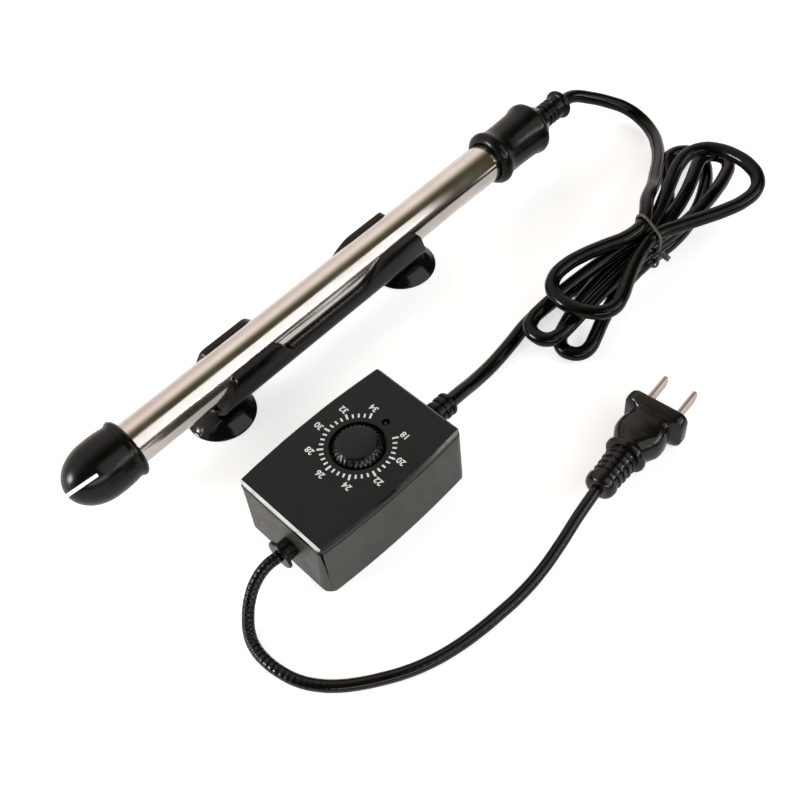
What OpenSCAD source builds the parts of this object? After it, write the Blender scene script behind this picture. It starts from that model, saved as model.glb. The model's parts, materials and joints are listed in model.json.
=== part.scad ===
// Submersible aquarium heater: a steel heating rod in a suction-cup holder, wired to a dial controller.
// +X runs along the heater from its nose to its cord gland, -Y points at the controller, +Z is up.
// The origin lies on the resting surface, midway along and across the heater and its controller.

/* [Heater] */
// Outer diameter of the steel sheath
sheath_d = 18; // [17:0.5:18.5]
// Wall of the steel sheath
sheath_wall = 0.7; // [0.5:0.1:1]
// Length of sheath left bare between the end caps
bare_l = 203; // [195:1:230]
// Rim diameter of the flared end caps
cap_rim_d = 25; // [24.5:0.5:26]
// Height of the heater's axis above the surface
axis_h = 21; // [20.5:0.5:23]
// Turns of the resistance wire on its ceramic core
wire_turns = 18; // [12:1:20]

/* [Holder] */
// Distance between the suction cups' centres
cup_pitch = 106.4; // [104:0.2:112]
// Rim diameter of a suction cup
cup_d = 29; // [27:0.5:31]
// Wall of the clip jaws
jaw_wall = 3; // [2.4:0.1:3.2]
// Height of the jaw tips above the heater's axis
jaw_tip_h = 4.8; // [4:0.1:6]

/* [Controller] */
// Length of the controller's box, at its cover
box_l = 69.4; // [68:0.2:76]
// Width of the controller's box, at the cover's ends
box_w = 44; // [42:1:48]
// Height of the controller's box
box_h = 29; // [28:0.5:32]
// Outward bow of the box's two long sides
side_bow = 1.5; // [0.8:0.1:2]
// Growth of each side of the box from the cover down to its foot
side_draft = 1.2; // [0.6:0.1:1.5]
// Distance from the heater's axis to the box's centre line
box_reach = 71.3; // [68:0.1:80]
// Diameter of the temperature dial
dial_d = 19.6; // [18:0.2:20]
// Knurls round the dial's rim
dial_knurls = 30; // [20:1:36]

/* [Cord] */
// Diameter of the lead between the heater and the controller
lead_d = 6; // [5.6:0.1:6]
// Diameter of the mains lead
mains_d = 4.6; // [4.2:0.1:4.8]

/* [Hidden] */
$fn = 48;
fit_gap = 0.05;

// ---- overall layout ----
sheath_r = sheath_d / 2;
bore_r = sheath_r - sheath_wall;
nose_cap_l = 29.6;
top_cap_l = 36.4;
gland_out_l = 17;
heater_l = nose_cap_l + bare_l + top_cap_l + gland_out_l;
nose_x = -heater_l / 2;
lower_mouth_x = nose_x + nose_cap_l;
upper_mouth_x = lower_mouth_x + bare_l;
gland_x = heater_l / 2;
layout_w = cup_d / 2 + box_reach + box_w / 2 + side_bow + side_draft;
heater_y = layout_w / 2 - cup_d / 2;
box_y = heater_y - box_reach;
box_x = nose_x + 78;
box_yaw = -1.5;
lower_cup_x = nose_x + 69.8;
upper_cup_x = lower_cup_x + cup_pitch;

// ---- shared shapes ----
// Puts its children on the heater's axis at x, with their +Z along +X
module on_axis(x) {
    translate([x, heater_y, axis_h]) rotate([0, 90, 0]) children();
}

// Points of an arc in the plane, from angle a0 to a1
function arc(c, r, a0, a1, n) =
    [for (i = [0:n]) c + r * [cos(a0 + (a1 - a0) * i / n), sin(a0 + (a1 - a0) * i / n)]];

// Outline with each corner p[i] rounded to the radius r[i]
function fillet(a, b, c, r, n) =
    let (u = (a - b) / norm(a - b), v = (c - b) / norm(c - b), half = acos(u * v) / 2,
         m = b + (u + v) / norm(u + v) * r / sin(half), d = r / tan(half),
         s = b + u * d - m, e = b + v * d - m, a0 = atan2(s.y, s.x),
         turn = (atan2(e.y, e.x) - a0 + 540) % 360 - 180)
    [for (i = [0:n]) m + r * [cos(a0 + turn * i / n), sin(a0 + turn * i / n)]];
function rounded(p, r, n = 5) =
    [for (i = [0:len(p) - 1])
        each (r[i] == 0 ? [p[i]] : fillet(p[(i + len(p) - 1) % len(p)], p[i], p[(i + 1) % len(p)], r[i], n))];

// Rectangle centred on the origin with true round corners
module round_rect(l, w, r) {
    square([l, w - 2 * r], center = true);
    square([l - 2 * r, w], center = true);
    for (x = [-1, 1], y = [-1, 1])
        translate([x * (l / 2 - r), y * (w / 2 - r)]) circle(r);
}

// Outline of one side of the block below, with its foot's round edge
function side_line(x, h, f, d) = concat(arc([x + d - f, f], f, -90, 0, 4), [[x, h]]);
// Block on z = 0 with straight ends and bowed long sides: d wider all round at its foot, whose
// edge is rounded to f, and with its four upright corners taken off by c
module bowed_block(l, w, h, c, f, d) {
    bow_r = (l * l / 4 + side_bow * side_bow) / (2 * side_bow);
    bow_y = w / 2 + side_bow - bow_r;
    end_line = side_line(l / 2, h, f, d);
    corner = l / 2 + w / 2 + d - c;
    intersection() {
        rotate([90, 0, 0]) linear_extrude(w + 10, center = true)
            polygon(concat(end_line, [for (i = [5:-1:0]) [-end_line[i].x, end_line[i].y]]));
        intersection_for (s = [-1, 1]) translate([0, s * bow_y, 0]) rotate_extrude($fn = 720)
            polygon(concat([[0, 0]], side_line(bow_r, h, f, d), [[0, h]]));
        linear_extrude(h) polygon([[corner, 0], [0, corner], [-corner, 0], [0, -corner]]);
    }
}

// Tube swept along the points p, which turn gently; a and b are its end directions
function unit(v) = v / norm(v);
function run_dir(p, i) = unit(p[min(i + 1, len(p) - 1)] - p[max(i - 1, 0)]);
function carried(n, t) = unit(n - (n * t) * t);
function frames(p, dirs, i = 0, n = [0, 0, 1]) =
    i == len(p) ? [] :
    let (m = carried(n, dirs[i])) concat([m], frames(p, dirs, i + 1, m));
module tube_along(p, r, sides, a, b) {
    last = len(p) - 1;
    dirs = [for (i = [0:last]) i == 0 ? unit(a) : i == last ? unit(b) : run_dir(p, i)];
    ups = frames(p, dirs);
    rings = [for (i = [0:last], k = [0:sides - 1])
        let (side = cross(dirs[i], ups[i]), t = 360 * k / sides)
        p[i] + r * (cos(t) * ups[i] + sin(t) * side)];
    skin = [for (i = [0:last - 1], k = [0:sides - 1])
        let (q = (k + 1) % sides, u = i * sides + k, v = i * sides + q)
        each [[u, u + sides, v + sides], [u, v + sides, v]]];
    ends = [for (k = [1:sides - 2]) each [[0, k, k + 1], [last * sides, last * sides + k + 1, last * sides + k]]];
    polyhedron(rings, concat(skin, ends));
}

// ---- heater ----
// Deep-drawn steel tube with a closed lower end
module steel_sheath() {
    lower_x = lower_mouth_x - 9;
    upper_x = upper_mouth_x + 14;
    color("silver") on_axis(lower_x) difference() {
        cylinder(h = upper_x - lower_x, r = sheath_r);
        translate([0, 0, 1.2]) cylinder(h = upper_x - lower_x, r = bore_r);
    }
}

// Rubber guard cap: flared rim, waist, pointed nose, hollow ahead of the sheath and slit through
module bottom_cap() {
    rim_r = cap_rim_d / 2;
    barrel_r = rim_r - 0.3;
    nose_l = 15.6;
    nose_z = nose_cap_l - nose_l;
    grip_z = 9.05;
    outer = concat([[sheath_r + 0.8, 0]], arc([rim_r - 1.2, 1.2], 1.2, -90, 40, 5),
        [[rim_r - 0.8, 3.6], [barrel_r - 0.25, 5.6], [barrel_r, 8.5]],
        [for (t = [0:9:90]) [barrel_r * cos(t), nose_z + nose_l * sin(t)]]);
    inner = concat([for (t = [90:-15:0]) [(barrel_r - 3) * cos(t), nose_z + (nose_l - 3) * sin(t)]],
        [[barrel_r - 3, grip_z + 1], [sheath_r - 1, grip_z], [sheath_r, grip_z], [sheath_r, 0.8]]);
    slit_w = 1.5;
    slit_lean = 38;
    color([0.09, 0.09, 0.09]) on_axis(lower_mouth_x) rotate([180, 0, 0]) difference() {
        rotate_extrude($fn = 40) polygon(concat(outer, inner));
        rotate([90, 0, 180 - slit_lean]) linear_extrude(slit_w, center = true)
            polygon([[rim_r + 2, nose_cap_l - 12], [rim_r + 2, nose_cap_l + 2],
                [-rim_r - 2, nose_cap_l + 2], [-rim_r - 2, nose_cap_l - 21.5]]);
    }
}

// Upper cap: flared mouth, waisted body and rear shoulder, with a socket for the sheath and the gland
module top_cap() {
    rim_r = cap_rim_d / 2;
    body_r = 10.9;
    neck_r = 4.5;
    lip_r = 1.7;
    outer = concat([[sheath_r + 0.7, 0]], arc([rim_r - lip_r, 1.9], lip_r, -80, 65, 6),
        [[body_r + 0.5, 4.5], [body_r, 6.5], [body_r + 0.1, 20], [body_r + 0.4, 25]],
        arc([11, 28.4], 1.3, -40, 80, 5), [[8.4, 33.4], [7.3, top_cap_l - 1], [6.6, top_cap_l]]);
    inner = [[neck_r, top_cap_l], [neck_r, 25], [7, 22], [7, 14.05], [sheath_r, 14.05], [sheath_r, 0.7]];
    color([0.09, 0.09, 0.09]) on_axis(upper_mouth_x)
        rotate_extrude($fn = 40) polygon(concat(outer, inner));
}

// Moulded strain relief at the heater's end: ribbed neck and end collar, with the lead's bore
module cord_gland() {
    root_z = top_cap_l - 11;
    rib_pitch = 2.6;
    color([0.08, 0.08, 0.08]) on_axis(upper_mouth_x) difference() {
        union() {
            translate([0, 0, root_z]) cylinder(h = 11.5, r = 4.5);
            translate([0, 0, top_cap_l]) cylinder(h = gland_out_l - 4, r = 4.9);
            for (i = [0:3])
                translate([0, 0, top_cap_l + 0.6 + i * rib_pitch]) cylinder(h = 1.5, r = 5.5);
            translate([0, 0, top_cap_l + gland_out_l - 5.4]) rotate_extrude()
                polygon(concat([[0, 0], [5.4, 0]], arc([5.2, 2.7], 1.6, -70, 70, 6), [[4.2, 5.4], [0, 5.4]]));
        }
        translate([0, 0, root_z - 1]) cylinder(h = top_cap_l + gland_out_l - root_z - 2, r = lead_d / 2 - 0.6);
    }
}

// Wound ceramic rod, the spacers that centre it, and the resistance wire
core_r = 4.2;
core_x = lower_mouth_x - 4;
core_l = bare_l - 25;
wire_r = 0.5;
inner_lead_off = 6.5;
module ceramic_core() {
    color("linen") on_axis(core_x) difference() {
        cylinder(h = core_l, r = core_r);
        translate([0, 0, -1]) cylinder(h = core_l + 2, r = 1.2);
    }
}
module core_spacers() {
    color("ivory") for (z = [1, core_l - 5])
        on_axis(core_x + z) difference() {
            cylinder(h = 4, r = bore_r - 0.1);
            translate([0, 0, -1]) cylinder(h = 6, r = core_r);
            for (a = [0, 180]) rotate([0, 0, a]) translate([inner_lead_off, 0, -1])
                cylinder(h = 6, r = 1.1, $fn = 24);
        }
}
module resistance_wire() {
    turn_rings = 12;
    coil_r = (core_r + wire_r + 0.1) / cos(180 / turn_rings);
    start_x = core_x + 8;
    pitch = (core_l - 18) / wire_turns;
    p = [for (i = [0:wire_turns * turn_rings]) let (t = 360 * i / turn_rings)
        [start_x + pitch * t / 360, heater_y + coil_r * sin(t), axis_h + coil_r * cos(t)]];
    along = [pitch, 2 * PI * coil_r, 0];
    color("dimgray") tube_along(p, wire_r, 6, along, along);
}
// Two insulated wires that run from the core's ends to the seal
module inner_leads() {
    color("white") {
        on_axis(core_x + core_l + 0.5) translate([inner_lead_off, 0, 0])
            cylinder(h = 12.5, r = 0.8, $fn = 24);
        on_axis(core_x - 1) translate([-inner_lead_off, 0, 0]) cylinder(h = core_l + 14, r = 0.8, $fn = 24);
    }
}
module thermal_cutout() {
    color("goldenrod") on_axis(core_x + core_l + 1) {
        cylinder(h = 10, r = 2);
        translate([0, 0, 9.9]) cylinder(h = 2.2, r = 0.6, $fn = 24);
    }
}
module temperature_sensor() {
    color("black") on_axis(core_x + core_l + 2) translate([0, 6.4, 0]) {
        cylinder(h = 8, r = 1.1, $fn = 24);
        translate([0, 0, 7.9]) cylinder(h = 3, r = 0.5, $fn = 24);
    }
}
// Silicone stopper that seals the sheath's open end
module tube_seal() {
    seal_x = core_x + core_l + 13.2;
    color("gainsboro") on_axis(seal_x) difference() {
        union() {
            cylinder(h = upper_mouth_x + 14 - seal_x, r = bore_r - fit_gap);
            translate([0, 0, upper_mouth_x + 14.2 - seal_x - 0.3]) cylinder(h = 4, r = 6.6);
        }
        translate([0, 0, 12]) cylinder(h = 30, r = lead_d / 2 - 0.6);
    }
}

// ---- holder ----
rail_r = sheath_r + jaw_wall;
rail_bottom = -12;
// Section of the cradle: a jaw ring that grows into a round-bottomed rail
module rail_section() {
    foot_r = 7;
    circle(rail_r, $fn = 64);
    translate([-rail_r, -5]) square([2 * rail_r, 5]);
    for (s = [-1, 1]) translate([s * (rail_r - foot_r), rail_bottom + foot_r]) circle(foot_r);
    translate([foot_r - rail_r, rail_bottom]) square([2 * (rail_r - foot_r), 8]);
}
// Side view of the cradle along X: two jaws with leaning ends, joined by a low trough
function cradle_outline() =
    let (l = lower_cup_x, u = upper_cup_x, low = -2)
    rounded([[l - 4.8, rail_bottom], [l + 5.6, jaw_tip_h], [l + 28, jaw_tip_h], [l + 33, low],
             [u - 31, low], [u - 20, jaw_tip_h], [u + 1, jaw_tip_h], [u + 5, rail_bottom]],
            [0, 3, 5, 3, 9, 9, 3, 0]);
tongue_t = 2.6;
neck_r = 2.5;
module clip_holder() {
    head_seat = 1.2;
    tongue_w = 15;
    color([0.1, 0.1, 0.1]) translate([0, heater_y, axis_h]) difference() {
        union() {
            intersection() {
                translate([lower_cup_x - 10, 0, 0]) rotate([90, 0, 90])
                    linear_extrude(cup_pitch + 20) rail_section();
                rotate([90, 0, 0]) linear_extrude(30, center = true) polygon(cradle_outline());
            }
            for (x = [lower_cup_x + 1, upper_cup_x])
                translate([x, 0, rail_bottom]) linear_extrude(tongue_t) round_rect(12.4, tongue_w, 3);
        }
        translate([lower_cup_x - 20, 0, 0]) rotate([0, 90, 0])
            cylinder(h = cup_pitch + 40, r = sheath_r + fit_gap, $fn = 64);
        for (x = [lower_cup_x, upper_cup_x]) translate([x, 0, rail_bottom]) {
            translate([0, 0, -1]) cylinder(h = 6, r = neck_r + fit_gap);
            translate([0, 0, head_seat]) cylinder(h = 4, r = 4.5);
        }
    }
}
// Rubber suction cup with a neck and a mushroom head that snaps through the holder's tongue
module suction_cup(x) {
    under = axis_h + rail_bottom;
    rim_r = cup_d / 2;
    bowl_h = under - 2.2;
    outer = concat([[rim_r, 0], [rim_r, 0.7]],
        [for (t = [10:10:80]) [4.6 + (rim_r - 4.9) * cos(t), 0.7 + (bowl_h - 0.7) * sin(t)]],
        [[4.6, bowl_h], [4.6, under - fit_gap], [neck_r, under - fit_gap], [neck_r, under + 1.25],
         [4.1, under + 1.25], [4.1, under + 1.9], [3.4, under + 2.4], [0, under + 2.4]]);
    hollow = [[0, 3.4], [4, 3.3], [8, 2.7], [11.5, 1.4], [rim_r - 1.1, 0]];
    color([0.07, 0.07, 0.07]) translate([x, heater_y, 0])
        rotate_extrude($fn = 48) polygon(concat(outer, hollow));
}
module lower_suction_cup() { suction_cup(lower_cup_x); }
module upper_suction_cup() { suction_cup(upper_cup_x); }

// ---- controller ----
wall = 1.8;
cover_t = 2.6;
corner_cut = 2.4;
seam_h = box_h - cover_t;
dial_x = 4.5;
dial_y = 0.7;
dial_r = dial_d / 2;
dial_well_r = dial_r + 0.9;
dial_well_h = 3.2;
led_reach = 14.1;
gland_h = 14;
lead_gland_y = -1.9;
mains_gland_y = -4.2;
end_x = box_l / 2 + side_draft * (1 - gland_h / box_h);
lead_gland_r = 4.3;
mains_gland_r = 4.1;
screw_x = box_l / 2 - 5.6;
screw_y = box_w / 2 - 5.6;
boss_h = 11;
board_h = 4.6;
board_t = 1.6;
board_top = board_h + board_t;
module in_box() { translate([box_x, box_y, 0]) rotate([0, 0, box_yaw]) children(); }
function box_point(x, y, z) =
    [box_x + x * cos(box_yaw) - y * sin(box_yaw), box_y + x * sin(box_yaw) + y * cos(box_yaw), z];
box_way = [cos(box_yaw), sin(box_yaw), 0];
// Seats its children on the board at x, y from the box's centre
module on_board(x, y) { in_box() translate([x, y, board_top]) children(); }

// Deep lower shell with screw bosses, board posts and the two cord holes
module box_base() {
    color([0.16, 0.16, 0.17]) in_box() difference() {
        union() {
            difference() {
                bowed_block(box_l, box_w, seam_h - 0.25, corner_cut, 2, side_draft);
                translate([0, 0, wall])
                    bowed_block(box_l - 2 * wall, box_w - 2 * wall, seam_h, corner_cut, 1, side_draft);
            }
            for (x = [-1, 1], y = [-1, 1]) translate([x * screw_x, y * screw_y, 1])
                cylinder(h = boss_h - 1, r = 3.2);
            for (x = [-16, 16]) translate([x, 0, 1]) cylinder(h = board_h - 1, r = 2.4);
        }
        for (x = [-1, 1], y = [-1, 1]) translate([x * screw_x, y * screw_y, -1]) {
            cylinder(h = 20, r = 1.6);
            cylinder(h = 4, r = 2.7);
        }
        translate([-end_x, mains_gland_y, gland_h]) rotate([0, 90, 0])
            cylinder(h = 3 * wall, r = mains_gland_r, center = true);
        translate([end_x, lead_gland_y, gland_h]) rotate([0, 90, 0])
            cylinder(h = 3 * wall, r = lead_gland_r, center = true);
    }
}

// Face plate with the dial's well, the lamp's hole, a locating lip and four screw posts
module box_cover() {
    lip_w = 1.2;
    lip_h = 2;
    post_h = seam_h - boss_h - 0.2;
    color([0.1, 0.1, 0.11]) in_box() difference() {
        union() {
            translate([0, 0, box_h]) mirror([0, 0, 1])
                bowed_block(box_l - 0.3, box_w - 0.3, cover_t, corner_cut - side_draft, 0.8, 0);
            translate([0, 0, seam_h - lip_h]) linear_extrude(lip_h + 0.1) difference() {
                round_rect(box_l - 2 * wall - 0.4, box_w - 2 * wall - 0.4, 2);
                round_rect(box_l - 2 * wall - 2 * lip_w, box_w - 2 * wall - 2 * lip_w, 1.2);
            }
            translate([dial_x, dial_y, box_h - dial_well_h - 1.6]) cylinder(h = 3, r = dial_well_r + 1.4);
            for (x = [-1, 1], y = [-1, 1])
                translate([x * screw_x, y * screw_y, seam_h - post_h]) cylinder(h = post_h + 0.1, r = 3);
        }
        translate([dial_x, dial_y, box_h - dial_well_h]) cylinder(h = 5, r = dial_well_r, $fn = 64);
        translate([dial_x, dial_y, 0]) cylinder(h = box_h, r = 3.5);
        translate([dial_x + led_reach, dial_y, box_h - 4]) cylinder(h = 6, r = 1.6);
        for (x = [-1, 1], y = [-1, 1]) translate([x * screw_x, y * screw_y, boss_h - 1])
            cylinder(h = 9, r = 1.45);
    }
}

// Knurled dial that sits in the cover's well and grips the shaft
module temperature_dial() {
    foot = box_h - dial_well_h + 0.4;
    top = box_h + 1.5;
    color([0.13, 0.13, 0.14]) in_box() translate([dial_x, dial_y, 0]) difference() {
        union() {
            translate([0, 0, foot]) rotate_extrude($fn = 60)
                polygon([[0, 0], [dial_r - 0.5, 0], [dial_r - 0.5, top - foot - 0.7],
                    [dial_r - 1.2, top - foot], [0, top - foot]]);
            for (i = [0:dial_knurls - 1]) rotate([0, 0, 360 * i / dial_knurls])
                translate([dial_r - 0.85, -0.5, foot]) cube([0.85, 1, top - foot - 0.9]);
        }
        translate([0, 0, top - 0.5]) cylinder(h = 1, r = dial_r - 2.6, $fn = 60);
        translate([0, 0, foot - 1]) cylinder(h = 3.4, r = 3);
        translate([-dial_r + 1.2, -0.4, top - 0.5]) cube([2.6, 0.8, 1]);
    }
}
module dial_shaft() {
    color("lightgray") in_box() translate([dial_x, dial_y, 14])
        cylinder(h = box_h - dial_well_h + 2.6 - 14, r = 3);
}
// Rotary control under the cover: round case, threaded bushing and three legs to the board
module potentiometer() {
    can_h = box_h - dial_well_h - 1.8;
    color("slategray") in_box() translate([dial_x, dial_y, 0]) {
        difference() {
            union() {
                translate([0, 0, 12.6]) cylinder(h = can_h - 12.6, r = 8);
                translate([0, 0, can_h - 0.1]) cylinder(h = 1.9, r = 3.35);
            }
            translate([0, 0, 13.6]) cylinder(h = box_h, r = 3 + fit_gap);
        }
        for (y = [-5, 0, 5]) translate([-6, y - 0.4, board_top + 0.05]) cube([0.6, 0.8, 6.6]);
    }
}
module circuit_board() {
    color("darkgreen") in_box() difference() {
        translate([0, 0, board_h + 0.02]) linear_extrude(board_t - 0.04) difference() {
            square([box_l - 2 * wall - 5, box_w - 2 * wall - 1.6], center = true);
            for (x = [-1, 1], y = [-1, 1]) translate([x * screw_x, y * screw_y]) circle(3.8);
        }
        for (x = [-16, 16]) translate([x, 0, board_h - 1]) cylinder(h = 4, r = 1);
    }
}
module power_relay() {
    color("royalblue") on_board(-20, 0) linear_extrude(14.8) round_rect(15, 19, 1);
}
module dropper_capacitor() {
    color("gold") on_board(25.5, -3) linear_extrude(13) round_rect(6, 18, 1);
}
module control_chip() {
    color([0.15, 0.15, 0.15]) on_board(12, -14) {
        translate([-5, -3.2, 0.8]) cube([10, 6.4, 3.4]);
        for (i = [0:3], s = [-1, 1]) translate([-4.1 + 2.54 * i, s * 3.55 - 0.35, 0.02]) cube([0.6, 0.7, 2.4]);
    }
}
module line_fuse() {
    color("ivory") on_board(-7, -14.5) translate([0, 0, 2.8]) rotate([0, 90, 0]) cylinder(h = 14, r = 2.5, center = true);
    color("silver") for (s = [-1, 1]) on_board(-7 + s * 6, -14.5) translate([-0.3, -1.4, 0.02]) cube([0.6, 2.8, 1]);
}
// Indicator lamp: a lens that stands in the cover's hole, on two legs
module indicator_led() {
    top = box_h - 0.5;
    color("orangered") in_box() translate([dial_x + led_reach, dial_y, 0]) {
        translate([0, 0, top - 5.5]) rotate_extrude($fn = 32)
            polygon(concat([[0, 0], [1.9, 0], [1.9, 0.8], [1.45, 0.8]],
                [for (t = [0:15:90]) [1.45 * cos(t), 4.05 + 1.45 * sin(t)]]));
        for (y = [-0.9, 0.5]) translate([-0.2, y, board_top + 0.02]) cube([0.4, 0.4, top - 5.5 - board_top + 0.1]);
    }
}
module case_screws() {
    color("silver") in_box() for (x = [-1, 1], y = [-1, 1]) translate([x * screw_x, y * screw_y, 0]) difference() {
        union() {
            translate([0, 0, 1]) cylinder(h = 2, r = 2.4);
            translate([0, 0, 2.9]) cylinder(h = 14, r = 1.4, $fn = 24);
        }
        for (a = [0, 90]) rotate([0, 0, a]) translate([-1.4, -0.3, 0]) cube([2.8, 0.6, 1.9]);
    }
}

// Rubber bush that carries a lead through the box's wall, its outer end facing along its +Z
module lead_bush(r, out_l, inner_r) {
    flange_z = -wall - 0.4;
    translate([0, 0, flange_z - 0.1]) cylinder(h = out_l - flange_z, r = r - fit_gap);
    translate([0, 0, flange_z - 1.4]) cylinder(h = 1.4, r = inner_r);
}
heater_lead_x = end_x + 13;
module heater_lead_gland() {
    color([0.07, 0.07, 0.07]) in_box() translate([end_x, lead_gland_y, gland_h]) rotate([0, 90, 0]) {
        lead_bush(lead_gland_r, 12.8, 5.4);
        for (z = [1.4, 4.8, 8.2]) translate([0, 0, z]) cylinder(h = 1.8, r = 4.8);
        translate([0, 0, 11]) rotate_extrude() polygon([[0, 0], [4.6, 0], [4.9, 0.8], [4.4, 2], [0, 2]]);
    }
}
mains_lead_x = -end_x - 5.8;
module mains_lead_gland() {
    color([0.07, 0.07, 0.07]) in_box() translate([-end_x, mains_gland_y, gland_h]) rotate([0, -90, 0]) {
        lead_bush(mains_gland_r, 4.5, 5.4);
        translate([0, 0, 4.2]) rotate_extrude()
            polygon([[0, 0], [5.7, 0], [6, 0.4], [6, 1.1], [5.6, 1.6], [0, 1.6]]);
    }
}

// ---- leads and plug ----
// Each free stretch follows points chosen along the lead as it lies, between its two fittings.
lead_r = lead_d / 2;
mains_r = mains_d / 2;
rest_h = lead_r + 0.1;
mains_rest_h = mains_r + 0.1;

// The hank: one strand laid to and fro through a tied waist, in two columns that climb together.
// Local axes: u along the hank, v across it and z up. It starts at the top and ends at the bottom.
hank_pos = [98.2, -41.3, 0];
hank_yaw = -7;
column_v = 3;
waist_step = 3.3;
waist_h = rest_h + 1.5;
lay_in = 0.68;
half_turn_rings = 16;
// Half turns from the top down: reach, half-width, lean in degrees and height of the far end
half_turns = [
    [51.3, 21.7, 8.5, 20.6], [55.5, 29, -2.7, 27], [66.6, 7, 3.1, 11.4],
    [65.4, 6.5, -16.2, 11.3], [58.7, 6.6, 14.5, 4.6], [63.7, 9.9, -29.7, 4]
];
function hank_place(u, v, z) =
    hank_pos + [u * cos(hank_yaw) + v * sin(hank_yaw), u * sin(hank_yaw) - v * cos(hank_yaw), z];
function pass_v(i) = i % 2 == 0 ? -column_v : column_v;
function pass_z(i) = waist_h + (len(half_turns) - i) * waist_step;
// Share of the half-width at the fraction x of the reach: nothing at the waist, blunt at the end
function loop_profile(x, blunt) = pow(x, 1.4) * sqrt(max(0, 1 - pow(x, blunt)));
function half_turn(i) =
    let (reach = half_turns[i][0], wide = half_turns[i][1], lean = half_turns[i][2], end_h = half_turns[i][3],
         way = i % 2 == 0 ? -1 : 1, v0 = pass_v(i), v1 = pass_v(i + 1), z0 = pass_z(i), z1 = pass_z(i + 1))
    [for (k = [0:half_turn_rings - 1])
        let (t = 180 * k / half_turn_rings, x = sin(t), back = cos(t), along = reach * x,
             off = (v0 - v1) / 2 * back + way * sign(back) * wide * loop_profile(x, 2 * reach / wide),
             swing = i == 0 && back > 0 ? lay_in * along * exp(-along / 11) : 0,
             turned = atan(2 * x * tan(lean)) * x,
             v = (v0 + v1) / 2 + along * x * tan(lean) + off * cos(turned) + swing,
             rest = (z0 + z1) / 2 + (z0 - z1) / 2 * back)
        hank_place(way * (along - off * sin(turned)), v, rest + (end_h - rest) * pow(x, 2.2))];
in_dir = [1, -lay_in, 0] / norm([1, -lay_in, 0]);
hank_in = hank_place(lead_d * in_dir.x, pass_v(0) + lead_d * in_dir.y, pass_z(0));
hank_out = hank_place(-lead_d, pass_v(6), pass_z(6));
hank_in_way = hank_place(0, pass_v(0), pass_z(0)) - hank_in;
hank_out_way = hank_out - hank_place(0, pass_v(6), pass_z(6));
hank_route = concat([hank_in], [for (i = [0:len(half_turns) - 1]) each half_turn(i)],
    [hank_place(0, pass_v(6), pass_z(6)), hank_out]);
module lead_hank() {
    color([0.05, 0.05, 0.05]) tube_along(hank_route, lead_r, 6, hank_in_way, hank_out_way);
}

// Thin wire wrapped round the waist, its two ends twisted together
tie_r = 0.6;
module hank_tie() {
    wrap_r = lead_r + tie_r + 0.25;
    slope = atan2(waist_step, 2 * column_v);
    twist_l = 8;
    twist_z = (pass_z(1) + pass_z(5)) / 2;
    wrap = concat(arc([column_v, pass_z(1)], wrap_r, 10, 90 - slope, 3),
        arc([-column_v, pass_z(0)], wrap_r, 95 - slope, 180, 5),
        arc([-column_v, pass_z(6)], wrap_r, 180, 265 + slope, 5),
        arc([column_v, pass_z(5)], wrap_r, slope - 90, -10, 3));
    ends = [for (phase = [0, 180]) [for (k = [0:8]) let (t = 100 * k + phase)
        [0.75 * sin(t), column_v + wrap_r + 0.3 + twist_l * k / 8, twist_z + 0.75 * cos(t)]]];
    p = concat([for (k = [8:-1:0]) ends[0][k]], [for (q = wrap) [0, q.x, q.y]], ends[1]);
    route = [for (q = p) hank_place(q.x, q.y, q.z)];
    color("gray") tube_along(route, tie_r, 6, route[1] - route[0], route[len(route) - 1] - route[len(route) - 2]);
}

heater_lead_route = [
    [gland_x, heater_y, axis_h], [150, 39.9, 20], [157.6, 35.6, 16.6], [164.7, 29.6, 12.6],
    [169.5, 22.6, 9.2], [170.6, 14.9, 6.3], [167.6, 6.4, 5], [158.9, -2.9, 7.2], [147.5, -11.5, 10.6],
    [137.4, -17.4, 13.6], [127.8, -22.7, 16.6], [119.6, -26.6, 20.2], [112.2, -30.1, 22.8], hank_in
];
module heater_lead() {
    color([0.06, 0.06, 0.06]) tube_along(heater_lead_route, lead_r, 10, [1, 0, 0], hank_in_way);
}
box_lead_route = [
    hank_out, [86.5, -35.6, 4], [79, -32.6, 3.3], [71, -29.1, rest_h], [62, -26.4, rest_h],
    [52.5, -24.9, rest_h],
    [40, -24.9, rest_h], [26, -26.9, rest_h], [12.8, -28.6, 3.7], [1.2, -30.2, 6.4], [-8.2, -32.1, 10.6],
    box_point(heater_lead_x, lead_gland_y, gland_h)
];
module box_lead() {
    color([0.06, 0.06, 0.06]) tube_along(box_lead_route, lead_r, 10, hank_out_way, -box_way);
}

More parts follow.
